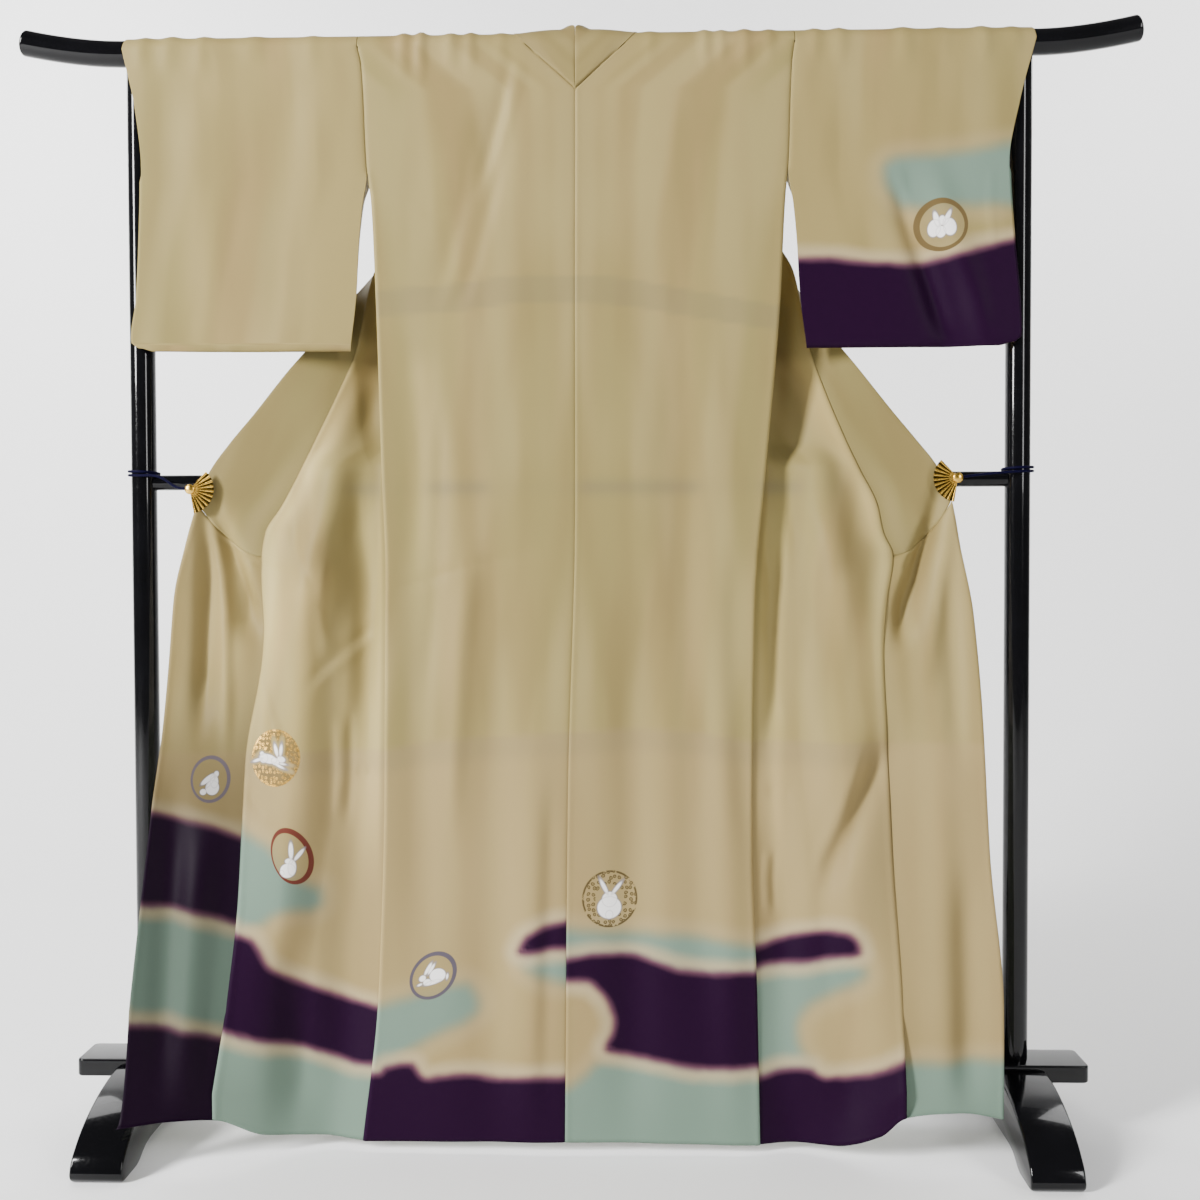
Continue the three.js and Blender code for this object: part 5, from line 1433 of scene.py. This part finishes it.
def cloth_piece(name, points, quads, uv, is_far=None):
    """One cut piece of silk: a thin lined shell with its dyes and motifs."""
    points = np.asarray(points, float)
    x = points[:, 0]
    z = points[:, 2]
    cut = name.split("_")[0]
    mesh = mesh_of(name, points, quads.tolist())
    layer = mesh.uv_layers.new(name="cloth")
    corner = np.empty(len(mesh.loops), int)
    mesh.loops.foreach_get("vertex_index", corner)
    layer.data.foreach_set("uv", (uv[corner] * MM).reshape(-1))
    fields = {
        "purple": dyed_depth(x, z, PURPLE.get(name, ())),
        "celadon": dyed_depth(x, z, CELADON.get(name, ())),
        "shade": show_through(x, z, cut == "back") if cut in ("back", "front") else 0 * x,
        "lower": ease(-6, 6, read(LINING_EDGE, 1, x) - z),
        # Painted highlights and painted shade of the edges and folds.
        "painted_highlight_and_shade": painted_light_and_shade(name, x, z) + fold_share(PAINTED_HIGHLIGHTS, x, z),
        # Painted shade in the deep folds of the fronts and okumi.
        "painted_fold_shade": fold_share(PAINTED_FOLD_SHADES, x, z) if cut in ("front", "okumi") else 0 * x,
    }
    away = np.zeros(len(x))
    if cut == "sleeve":
        # A sleeve is dyed on one layer: the left on its far one, like the right one turned over.
        for key, source in (("purple", PURPLE), ("celadon", CELADON)):
            if name == "sleeve_left":
                fields[key] = np.where(is_far > 0.6, dyed_depth(-x, z, source["sleeve_right"]), -DYE_REACH)
            else:
                fields[key] = np.where(is_far < 0.6, fields[key], -DYE_REACH)
        away = 1e4 * (is_far > 0.4)
    for key, values in fields.items():
        attribute = mesh.attributes.new(key, "FLOAT", "POINT")
        attribute.data.foreach_set("value", values.astype(np.float32))
    hung = mesh.attributes.new("hung", "FLOAT_VECTOR", "POINT")
    hung.data.foreach_set("vector", np.stack([x + away, z, 0 * x], axis=1).astype(np.float32).reshape(-1))
    piece = link(name + "_silk", mesh)
    mesh.materials.append(dyed_silk(name, [motif[1:] for motif in MOTIFS if motif[0] == name]))
    mesh.materials.append(lining_silk())
    shell = piece.modifiers.new("Lined cloth", "SOLIDIFY")
    shell.thickness = looks().cloth
    shell.offset = 0
    shell.material_offset = 1
    shell.material_offset_rim = 0
    settle(piece, "silk", name)


def grid_piece(name, side, sheet):
    """A cut piece of silk from a grid of points."""
    x, y, z = sheet
    quads = quads_of(np.arange(x.size).reshape(x.shape))
    if side["sign"] < 0:
        quads = quads[:, ::-1]
    points = np.stack([x, y, z], axis=-1).reshape(-1, 3)
    cloth_piece(name, points, quads, cloth_uv(x, y, z).reshape(-1, 2))


def soft_light(name, location, target, size, power):
    """A broad light that points at its target."""
    data = bpy.data.lights.new(name, "AREA")
    data.shape = "RECTANGLE"
    data.size = size[0]
    data.size_y = size[1]
    data.energy = power
    light = link(name, data)
    light.location = location
    direction = Vector(target) - Vector(location)
    light.rotation_euler = direction.to_track_quat("-Z", "Y").to_euler()


def camera_axis(across, forward, up):
    """A direction of the camera, turned by its roll, pitch and yaw."""
    cr, sr = math.cos(CAMERA["roll"]), math.sin(CAMERA["roll"])
    cp, sp = math.cos(CAMERA["pitch"]), math.sin(CAMERA["pitch"])
    cy, sy = math.cos(CAMERA["yaw"]), math.sin(CAMERA["yaw"])
    u = cr * across + sr * up
    v = sr * across - cr * up
    d = (u, forward, -v)
    d = (d[0], cp * d[1] - sp * d[2], sp * d[1] + cp * d[2])
    return Vector((cy * d[0] - sy * d[1], sy * d[0] + cy * d[1], d[2]))


class KIMONO_OT_stage(bpy.types.Operator):
    """Camera, lights, floor and backdrop"""

    bl_idname = "kimono.stage"
    bl_label = "Stage"

    def execute(self, context):
        data = bpy.data.cameras.new("camera")
        data.lens = CAMERA["lens"]
        data.sensor_width = 36
        data.clip_end = 50
        camera = link("camera", data)
        right = camera_axis(1, 0, 0)
        up = camera_axis(0, 0, 1)
        forward = camera_axis(0, 1, 0)
        turn = Matrix((right, up, -forward)).transposed().to_4x4()
        camera.matrix_world = Matrix.Translation(CAMERA["place"]) @ turn
        context.scene.camera = camera
        bend = FLOOR["bend"]
        radius = FLOOR["radius"]
        profile = [(FLOOR["front"], 0.0), (bend, 0.0)]
        for i in range(1, 13):
            a = math.radians(90 * i / 12)
            profile.append((bend + radius * math.sin(a), radius - radius * math.cos(a)))
        profile.append((bend + radius, FLOOR["top"]))
        points = []
        faces = []
        for i, (y, z) in enumerate(profile):
            points += [(x / MM, y / MM, z / MM) for x in (-FLOOR["half"], FLOOR["half"])]
            if i:
                faces.append((2 * i - 2, 2 * i - 1, 2 * i + 1, 2 * i))
        floor = link("floor", mesh_of("floor", points, faces))
        material, shader, net = new_material("Pale floor")
        net.put(shader.inputs["Base Color"], (FLOOR["grey"],) * 3)
        shader.inputs["Roughness"].default_value = 0.75
        floor.data.materials.append(material)
        world = context.scene.world or bpy.data.worlds.new("World")
        context.scene.world = world
        world.use_nodes = True
        sky = world.node_tree.nodes.get("Background") or world.node_tree.nodes.new("ShaderNodeBackground")
        sky.inputs["Color"].default_value = (1.0, 1.0, 1.0, 1)
        sky.inputs["Strength"].default_value = SKY
        for light in LIGHTS:
            soft_light(*light)
        return {"FINISHED"}


class KIMONO_OT_cords(bpy.types.Operator):
    """The cords that tie the clips to the posts"""

    bl_idname = "kimono.cords"
    bl_label = "Tie cords"

    def execute(self, context):
        diameter = looks().cord
        lay = POST["radius"] + 4 * GAP + diameter / MM / 2
        for side in SIDES:
            out, z = side["clip"]
            start = out + FAN["barrel"] + 3.4 + GAP
            route = [(start, -29, z + 1), (start + 12, -28.4, z + 3), (POST["x"] - 30, -25, TIE["z"] - 2)]
            for step in range(TIE["points"]):
                angle = -math.pi / 2 + step * math.pi / 4
                route.append((
                    POST["x"] + lay * math.cos(angle), lay * math.sin(angle), TIE["z"] + step * TIE["rise"]))
            name = "tie_cord_" + side["name"]
            data = bpy.data.curves.new(name, "CURVE")
            data.dimensions = "3D"
            data.bevel_depth = diameter / 2
            data.bevel_resolution = 4
            data.resolution_u = 8
            data.use_fill_caps = True
            spline = data.splines.new("BEZIER")
            spline.bezier_points.add(len(route) - 1)
            for point, (px, py, pz) in zip(spline.bezier_points, route):
                point.co = Vector((side["sign"] * px, py, pz)) * MM
                point.handle_left_type = "AUTO"
                point.handle_right_type = "AUTO"
            cord = link(name + "_braid", data)
            data.materials.append(braid())
            context.view_layer.update()
            settle(cord, "tie_cord", name)
            exit_at = tuple(spline.bezier_points[0].co)
        return {"FINISHED"}


def geometry_tree(name, inputs, fill):
    """Geometry nodes, built once: inputs are (name, kind, default), and the finish is set at the end."""
    tree = bpy.data.node_groups.get(name)
    if tree:
        return tree
    tree = bpy.data.node_groups.new(name, "GeometryNodeTree")
    for label, kind, default in (("Geometry", "Geometry", None), *inputs, ("Finish", "Material", None)):
        socket = tree.interface.new_socket(label, in_out="INPUT", socket_type="NodeSocket" + kind)
        if default is not None:
            socket.default_value = default
    tree.interface.new_socket("Geometry", in_out="OUTPUT", socket_type="NodeSocketGeometry")
    source = tree.nodes.new("NodeGroupInput")
    sink = tree.nodes.new("NodeGroupOutput")
    net = Net(tree)
    whole = net.node("GeometryNodeRealizeInstances", (0, fill(net, source.outputs)))
    whole = net.node(
        "GeometryNodeSetMaterial", ("Geometry", whole), ("Material", source.outputs["Finish"]))
    tree.links.new(whole, sink.inputs[0])
    return tree


def bar_tree():
    """A round bar along a line of points, its girth from each point."""
    def fill(net, given):
        line = net.node("GeometryNodeMeshToCurve", (0, given["Geometry"]))
        girth = net.node("GeometryNodeInputNamedAttribute", ("Name", "girth"), data_type="FLOAT")
        circle = net.node(
            "GeometryNodeCurvePrimitiveCircle", ("Resolution", given["Sides"]), ("Radius", 1.0))
        return net.node(
            "GeometryNodeCurveToMesh", ("Curve", line), ("Profile Curve", circle), ("Scale", girth),
            ("Fill Caps", True))
    return geometry_tree("Round bar", (("Sides", "Int", 64),), fill)


def plain_mesh(piece, name):
    """The evaluated shape of an object as a plain mesh, its modifiers removed."""
    bpy.context.view_layer.update()
    graph = bpy.context.evaluated_depsgraph_get()
    mesh = bpy.data.meshes.new_from_object(piece.evaluated_get(graph))
    mesh.name = name
    piece.modifiers.clear()
    piece.data = mesh
    return mesh


def shade_round(mesh, sharp_from):
    """Smooth faces that meet sharply from the given angle on."""
    mesh.polygons.foreach_set("use_smooth", [True] * len(mesh.polygons))
    mesh.set_sharp_from_angle(angle=math.radians(sharp_from))


def add_tree(piece, tree, **values):
    """Puts geometry nodes on a piece and sets their inputs."""
    modifier = piece.modifiers.new(tree.name, "NODES")
    modifier.node_group = tree
    for item in tree.interface.items_tree:
        if item.in_out == "INPUT" and item.name in values:
            modifier[item.identifier] = values[item.name]


def round_bar(name, stations, finish, sides=64):
    """A turned bar: stations are (x, y, z, radius)."""
    mesh = bpy.data.meshes.new(name)
    points = [tuple(c * MM for c in s[:3]) for s in stations]
    mesh.from_pydata(points, [(i, i + 1) for i in range(len(points) - 1)], [])
    girth = mesh.attributes.new("girth", "FLOAT", "POINT")
    girth.data.foreach_set("value", [s[3] * MM for s in stations])
    piece = link(name, mesh)
    add_tree(piece, bar_tree(), Sides=int(sides / DETAIL), Finish=finish)
    shade_round(plain_mesh(piece, name), 35)
    return piece


def rail_stations():
    """The top rail from its right end to its left one: level, then rising to rounded ends."""
    radius = RAIL["radius"] - 0.1
    half = RAIL["half"]
    places = [(half - inset, girth) for inset, girth in end_steps(radius, 4)]
    places += [(x, radius) for x in RAIL_STEPS]
    right = []
    for x, girth in places:
        share = max(0.0, (x - RAIL["rise_from"]) / (half - RAIL["rise_from"]))
        right.append((x, 0, RAIL["z"] + RAIL["rise"] * share ** 1.7, girth))
    left = [(-x, y, z, girth) for x, y, z, girth in right]
    return right + left[::-1]


def end_steps(radius, ease_by):
    """From a bar's end inwards: distance from the end, and the girth of its rounded edge."""
    steps = []
    for i in range(6):
        a = math.pi / 2 * i / 5
        steps.append((ease_by * (1 - math.cos(a)), radius - ease_by * (1 - math.sin(a))))
    return steps


def outline_solid(name, outline, thickness, axis, bevel, finish):
    """An outline drawn in two directions, given a thickness in the third and rounded edges."""
    count = len(outline)
    points = []
    for offset in (-thickness / 2, thickness / 2):
        for a, b in outline:
            points.append((offset, a, b) if axis == "x" else (a, b, offset))
    faces = [tuple(range(count))[::-1], tuple(range(count, 2 * count))]
    faces += [(i, (i + 1) % count, count + (i + 1) % count, count + i) for i in range(count)]
    mesh = mesh_of(name, points, faces)
    piece = link(name, mesh)
    mesh.materials.append(finish)
    edge = piece.modifiers.new("Eased edges", "BEVEL")
    edge.width = bevel * MM
    edge.segments = 4
    edge.limit_method = "ANGLE"
    edge.angle_limit = math.radians(30)
    shade_round(plain_mesh(piece, name), 38)
    return piece


def moved(piece, dx, dy, dz):
    """The piece with its mesh moved, its object left at the origin."""
    piece.data.transform(Matrix.Translation(Vector((dx, dy, dz)) * MM))
    return piece


def foot_outline():
    """A foot from the side: arched underneath, sloping to rounded toes, notched for the board."""
    t = np.linspace(0, 1, 25)
    table = np.asarray(FOOT_TOP, float)
    run = np.concatenate([[0], np.cumsum(np.hypot(*np.diff(table, axis=0).T))])
    at = t * run[-1]
    top = list(zip(smooth(run, table[:, 0], at), smooth(run, table[:, 1], at)))
    notch = BOARD["depth"] / 2 + GAP
    seat = BOARD["top"] - BOARD["thickness"] - GAP
    toe = [(214, 5), (209, 1.2), (203, 0)]
    arch = [(FOOT["pad_from"], 0), (146, 3.4), (134, 10), (122, 15), (106, 17.5), (90, FOOT["arch"])]
    half = [(notch, seat), (notch, table[0, 1])] + top[1:] + toe + arch
    return [(y, z) for y, z in half] + [(-y, z) for y, z in half[::-1]]


def board_outline():
    """The board from above, with its corners rounded."""
    corner = BOARD["corner"]
    across = BOARD["half"] - corner
    deep = BOARD["depth"] / 2 - corner
    outline = []
    for x_side, y_side, start in ((1, -1, -90), (1, 1, 0), (-1, 1, 90), (-1, -1, 180)):
        for i in range(7):
            a = math.radians(start + 15 * i)
            outline.append((x_side * across + corner * math.cos(a), y_side * deep + corner * math.sin(a)))
    return outline


class KIMONO_OT_stand(bpy.types.Operator):
    """The lacquered stand: rails, posts, board and feet"""

    bl_idname = "kimono.stand"
    bl_label = "Stand"

    def execute(self, context):
        finish = lacquer()
        settle(round_bar("top_rail_turned", rail_stations(), finish), "lacquer", "top_rail")
        reach = POST["x"] - POST["radius"] + 2
        stations = [(x, 0, MID_RAIL["z"], MID_RAIL["radius"]) for x in (-reach, -300, 300, reach)]
        settle(round_bar("mid_rail_turned", stations, finish, 40), "lacquer", "mid_rail")
        for side in SIDES:
            x = side["sign"] * POST["x"]
            heights = (BOARD["top"] + GAP, 500, 1000, 1400, RAIL["z"] - 8)
            stations = [(x, 0, z, POST["radius"]) for z in heights]
            name = "post_" + side["name"]
            settle(round_bar(name + "_turned", stations, finish, 56), "lacquer", name)
            name = "foot_" + side["name"]
            foot = outline_solid(
                name + "_shaped", foot_outline(), FOOT["width"], "x", FOOT["bevel"], finish)
            settle(moved(foot, x, 0, 0), "lacquer", name)
        board = outline_solid(
            "base_board_shaped", board_outline(), BOARD["thickness"], "z", BOARD["bevel"], finish)
        settle(moved(board, 0, 0, BOARD["top"] - BOARD["thickness"] / 2), "lacquer", "base_board")
        return {"FINISHED"}


def fan_tree():
    """One rib, repeated round the fan's pivot."""
    def fill(net, given):
        places = net.node("GeometryNodePoints", ("Count", given["Ribs"]))
        number = net.node("GeometryNodeInputIndex")
        angle = net.math("ADD", net.math("MULTIPLY", number, given["Step"]), given["From"])
        turn = net.node("ShaderNodeCombineXYZ", (1, angle))
        return net.node(
            "GeometryNodeInstanceOnPoints", ("Points", places), ("Instance", given["Geometry"]),
            ("Rotation", turn))
    inputs = (("Ribs", "Int", 10), ("From", "Float", None), ("Step", "Float", None))
    return geometry_tree("Fan ribs", inputs, fill)


def fan_leaf(sign, inner, outer, height):
    """A sector of the fan as a closed plate; it stands forward from its back."""
    steps = FAN["ribs"] * 2
    points = []
    for i in range(steps + 1):
        a = math.radians(mix(FAN["from"], FAN["to"], i / steps))
        reach = outer - (0 if i % 2 else FAN["scallop"] * outer)
        for radius, y in ((inner, 0), (reach, 0), (reach, -height), (inner, -height)):
            points.append((-sign * radius * math.cos(a), y, radius * math.sin(a)))
    faces = []
    for i in range(steps):
        for k in range(4):
            n = (k + 1) % 4
            faces.append((4 * i + k, 4 * i + n, 4 * (i + 1) + n, 4 * (i + 1) + k))
    faces += [(3, 2, 1, 0), tuple(4 * steps + k for k in range(4))]
    return points, faces


def fan_rib(sign):
    """One rib, wider and higher towards the fan's rim, with eased top edges."""
    points = []
    for radius, half, deep in ((6, 0.5, 1.5), (13, 0.7, 1.7), (FAN["outer"] - 0.4, 1.75, 2.3)):
        for y, z in ((0, -half), (-0.8 * deep, -half), (-deep, -0.5 * half), (-deep, 0.5 * half),
                     (-0.8 * deep, half), (0, half)):
            points.append((-sign * radius, y, z))
    faces = [tuple(range(6)), tuple(range(17, 11, -1))]
    for row in (0, 6):
        faces += [(row + k, row + 6 + k, row + 6 + (k + 1) % 6, row + (k + 1) % 6) for k in range(6)]
    return points, faces


def lathe(profile, sides):
    """A round part about the y axis, closed at both ends: profile is (y, radius) from back to front."""
    points = []
    faces = []
    for y, radius in profile:
        for i in range(sides):
            a = 2 * math.pi * i / sides
            points.append((radius * math.cos(a), y, radius * math.sin(a)))
    for row in range(len(profile) - 1):
        for i in range(sides):
            j = (i + 1) % sides
            faces.append((row * sides + i, row * sides + j, (row + 1) * sides + j, (row + 1) * sides + i))
    last = (len(profile) - 1) * sides
    faces += [tuple(range(sides))[::-1], tuple(last + i for i in range(sides))]
    return points, faces


def box_bar(x1, x2, y1, y2, z1, z2):
    """Points and faces of a plain block."""
    points = [(x, y, z) for x in (x1, x2) for y in (y1, y2) for z in (z1, z2)]
    faces = [(0, 1, 3, 2), (4, 6, 7, 5), (0, 4, 5, 1), (2, 3, 7, 6), (0, 2, 6, 4), (1, 5, 7, 3)]
    return points, faces


def loose_part(name, shape, finish, smooth_faces=False):
    """A part of a clip, before the parts are made one."""
    part = link(name, mesh_of(name, *shape, smooth_faces))
    part.data.materials.append(finish)
    return part


def clip_pivot(front):
    """The profile of a clip's barrel and hub: y and radius, from behind the jaw to the hub's cap."""
    tip = front - FAN["plate"] - 1.6
    return (
        (FAN["jaw"] + 1.4, FAN["barrel"] + 1.5), (FAN["jaw"] + 0.4, FAN["barrel"] + 2.7),
        (front, FAN["barrel"] + 3.2), (tip + 0.8, FAN["barrel"] + 3.2), (tip, FAN["barrel"] + 2.4),
        (tip - 0.9, FAN["barrel"] - 0.4), (tip - 1.5, 1.2), (tip - 1.6, 0.3),
    )


class KIMONO_OT_clips(bpy.types.Operator):
    """The two gilt fan clips"""

    bl_idname = "kimono.clips"
    bl_label = "Fan clips"

    def execute(self, context):
        finish = gilding(False)
        front = float(read(LEFT["collar"], 2, COLLAR_END)) - 1 - 4 * GAP
        jaw = FAN["jaw"]
        for side in SIDES:
            sign = side["sign"]
            out, height = side["clip"]
            parts = []
            # The leaf behind the ribs is painted dark as shade; the hub plate is plain gilt.
            for inner, outer, plate, metal in (
                    (FAN["inner"], FAN["outer"], 0.6, gilding(True)), (6, 13, 1.4, finish)):
                points, faces = fan_leaf(sign, inner, outer, plate)
                points = [(x, y + front, z) for x, y, z in points]
                parts.append(loose_part("leaf", (points, faces), metal))
            ribs = link("ribs", mesh_of("ribs", *fan_rib(sign), False))
            step = math.radians(FAN["to"] - FAN["from"]) / FAN["ribs"] * sign
            first = math.radians(FAN["from"]) * sign
            add_tree(ribs, fan_tree(), Ribs=FAN["ribs"] + 1, From=first, Step=step, Finish=finish)
            plain_mesh(ribs, "ribs").transform(Matrix.Translation(Vector((0, front, 0)) * MM))
            parts.append(ribs)
            parts.append(loose_part("pivot", lathe(clip_pivot(front), 32), finish, True))
            block = box_bar(-sign * 20, sign * 2, jaw, jaw + 1.6, -6, 6)
            parts.append(loose_part("jaw", block, finish))
            name = "clip_" + side["name"]
            clip = moved(join(parts, name + "_gilt"), sign * out, 0, height)
            settle(clip, "gilt_brass", name)
        return {"FINISHED"}


def join(parts, name):
    """Several meshes at the origin made one, their faces turned outward."""
    whole = bmesh.new()
    finishes = []
    for part in parts:
        finish = next(m for m in part.data.materials if m)
        if finish not in finishes:
            finishes.append(finish)
        one = bmesh.new()
        one.from_mesh(part.data)
        bmesh.ops.remove_doubles(one, verts=one.verts, dist=1e-6)
        bmesh.ops.recalc_face_normals(one, faces=one.faces)
        for face in one.faces:
            face.material_index = finishes.index(finish)
        one.to_mesh(part.data)
        one.free()
        whole.from_mesh(part.data)
    mesh = bpy.data.meshes.new(name)
    whole.to_mesh(mesh)
    whole.free()
    for finish in finishes:
        mesh.materials.append(finish)
    for part in parts:
        bpy.data.objects.remove(part)
    return link(name, mesh)


class KIMONO_OT_body(bpy.types.Operator):
    """Backs, fronts and the narrow overlap panels"""

    bl_idname = "kimono.body"
    bl_label = "Body"

    def execute(self, context):
        for side in SIDES:
            name = side["name"]
            grid_piece("back_" + name, side, back_sheet(side))
            grid_piece("front_" + name, side, front_sheet(side))
            grid_piece("okumi_" + name, side, okumi_sheet(side))
        return {"FINISHED"}


class KIMONO_OT_collar(bpy.types.Operator):
    """The two halves of the collar"""

    bl_idname = "kimono.collar"
    bl_label = "Collar"

    def execute(self, context):
        for side in SIDES:
            grid_piece("collar_" + side["name"], side, collar_sheet(side))
        return {"FINISHED"}


class KIMONO_OT_sleeves(bpy.types.Operator):
    """The two sleeves"""

    bl_idname = "kimono.sleeves"
    bl_label = "Sleeves"

    def execute(self, context):
        for side in SIDES:
            points, quads, uv, is_far = sleeve_shell(side)
            cloth_piece("sleeve_" + side["name"], points, quads, uv, is_far)
        return {"FINISHED"}


class KIMONO_PT_panel(bpy.types.Panel):
    """Lists the pieces and their sizes"""

    bl_idname = "KIMONO_PT_panel"
    bl_label = "Kimono on a stand"
    bl_space_type = "VIEW_3D"
    bl_region_type = "UI"
    bl_category = "Kimono"

    def draw(self, context):
        for operator in OPERATORS:
            self.layout.operator(operator.bl_idname)
        for key in KimonoLooks.__annotations__:
            self.layout.prop(looks(), key)


OPERATORS = (
    KIMONO_OT_stage, KIMONO_OT_cords, KIMONO_OT_stand, KIMONO_OT_clips, KIMONO_OT_body,
    KIMONO_OT_collar, KIMONO_OT_sleeves,
)
CLASSES = (KimonoLooks, *OPERATORS, KIMONO_PT_panel)


def register():
    for item in CLASSES:
        bpy.utils.register_class(item)
    bpy.types.Scene.kimono_looks = bpy.props.PointerProperty(type=KimonoLooks)


def unregister():
    del bpy.types.Scene.kimono_looks
    for item in reversed(CLASSES):
        bpy.utils.unregister_class(item)


def main():
    register()
    for operator in OPERATORS:
        group, action = operator.bl_idname.split(".")
        getattr(getattr(bpy.ops, group), action)()


if __name__ == "__main__":
    main()
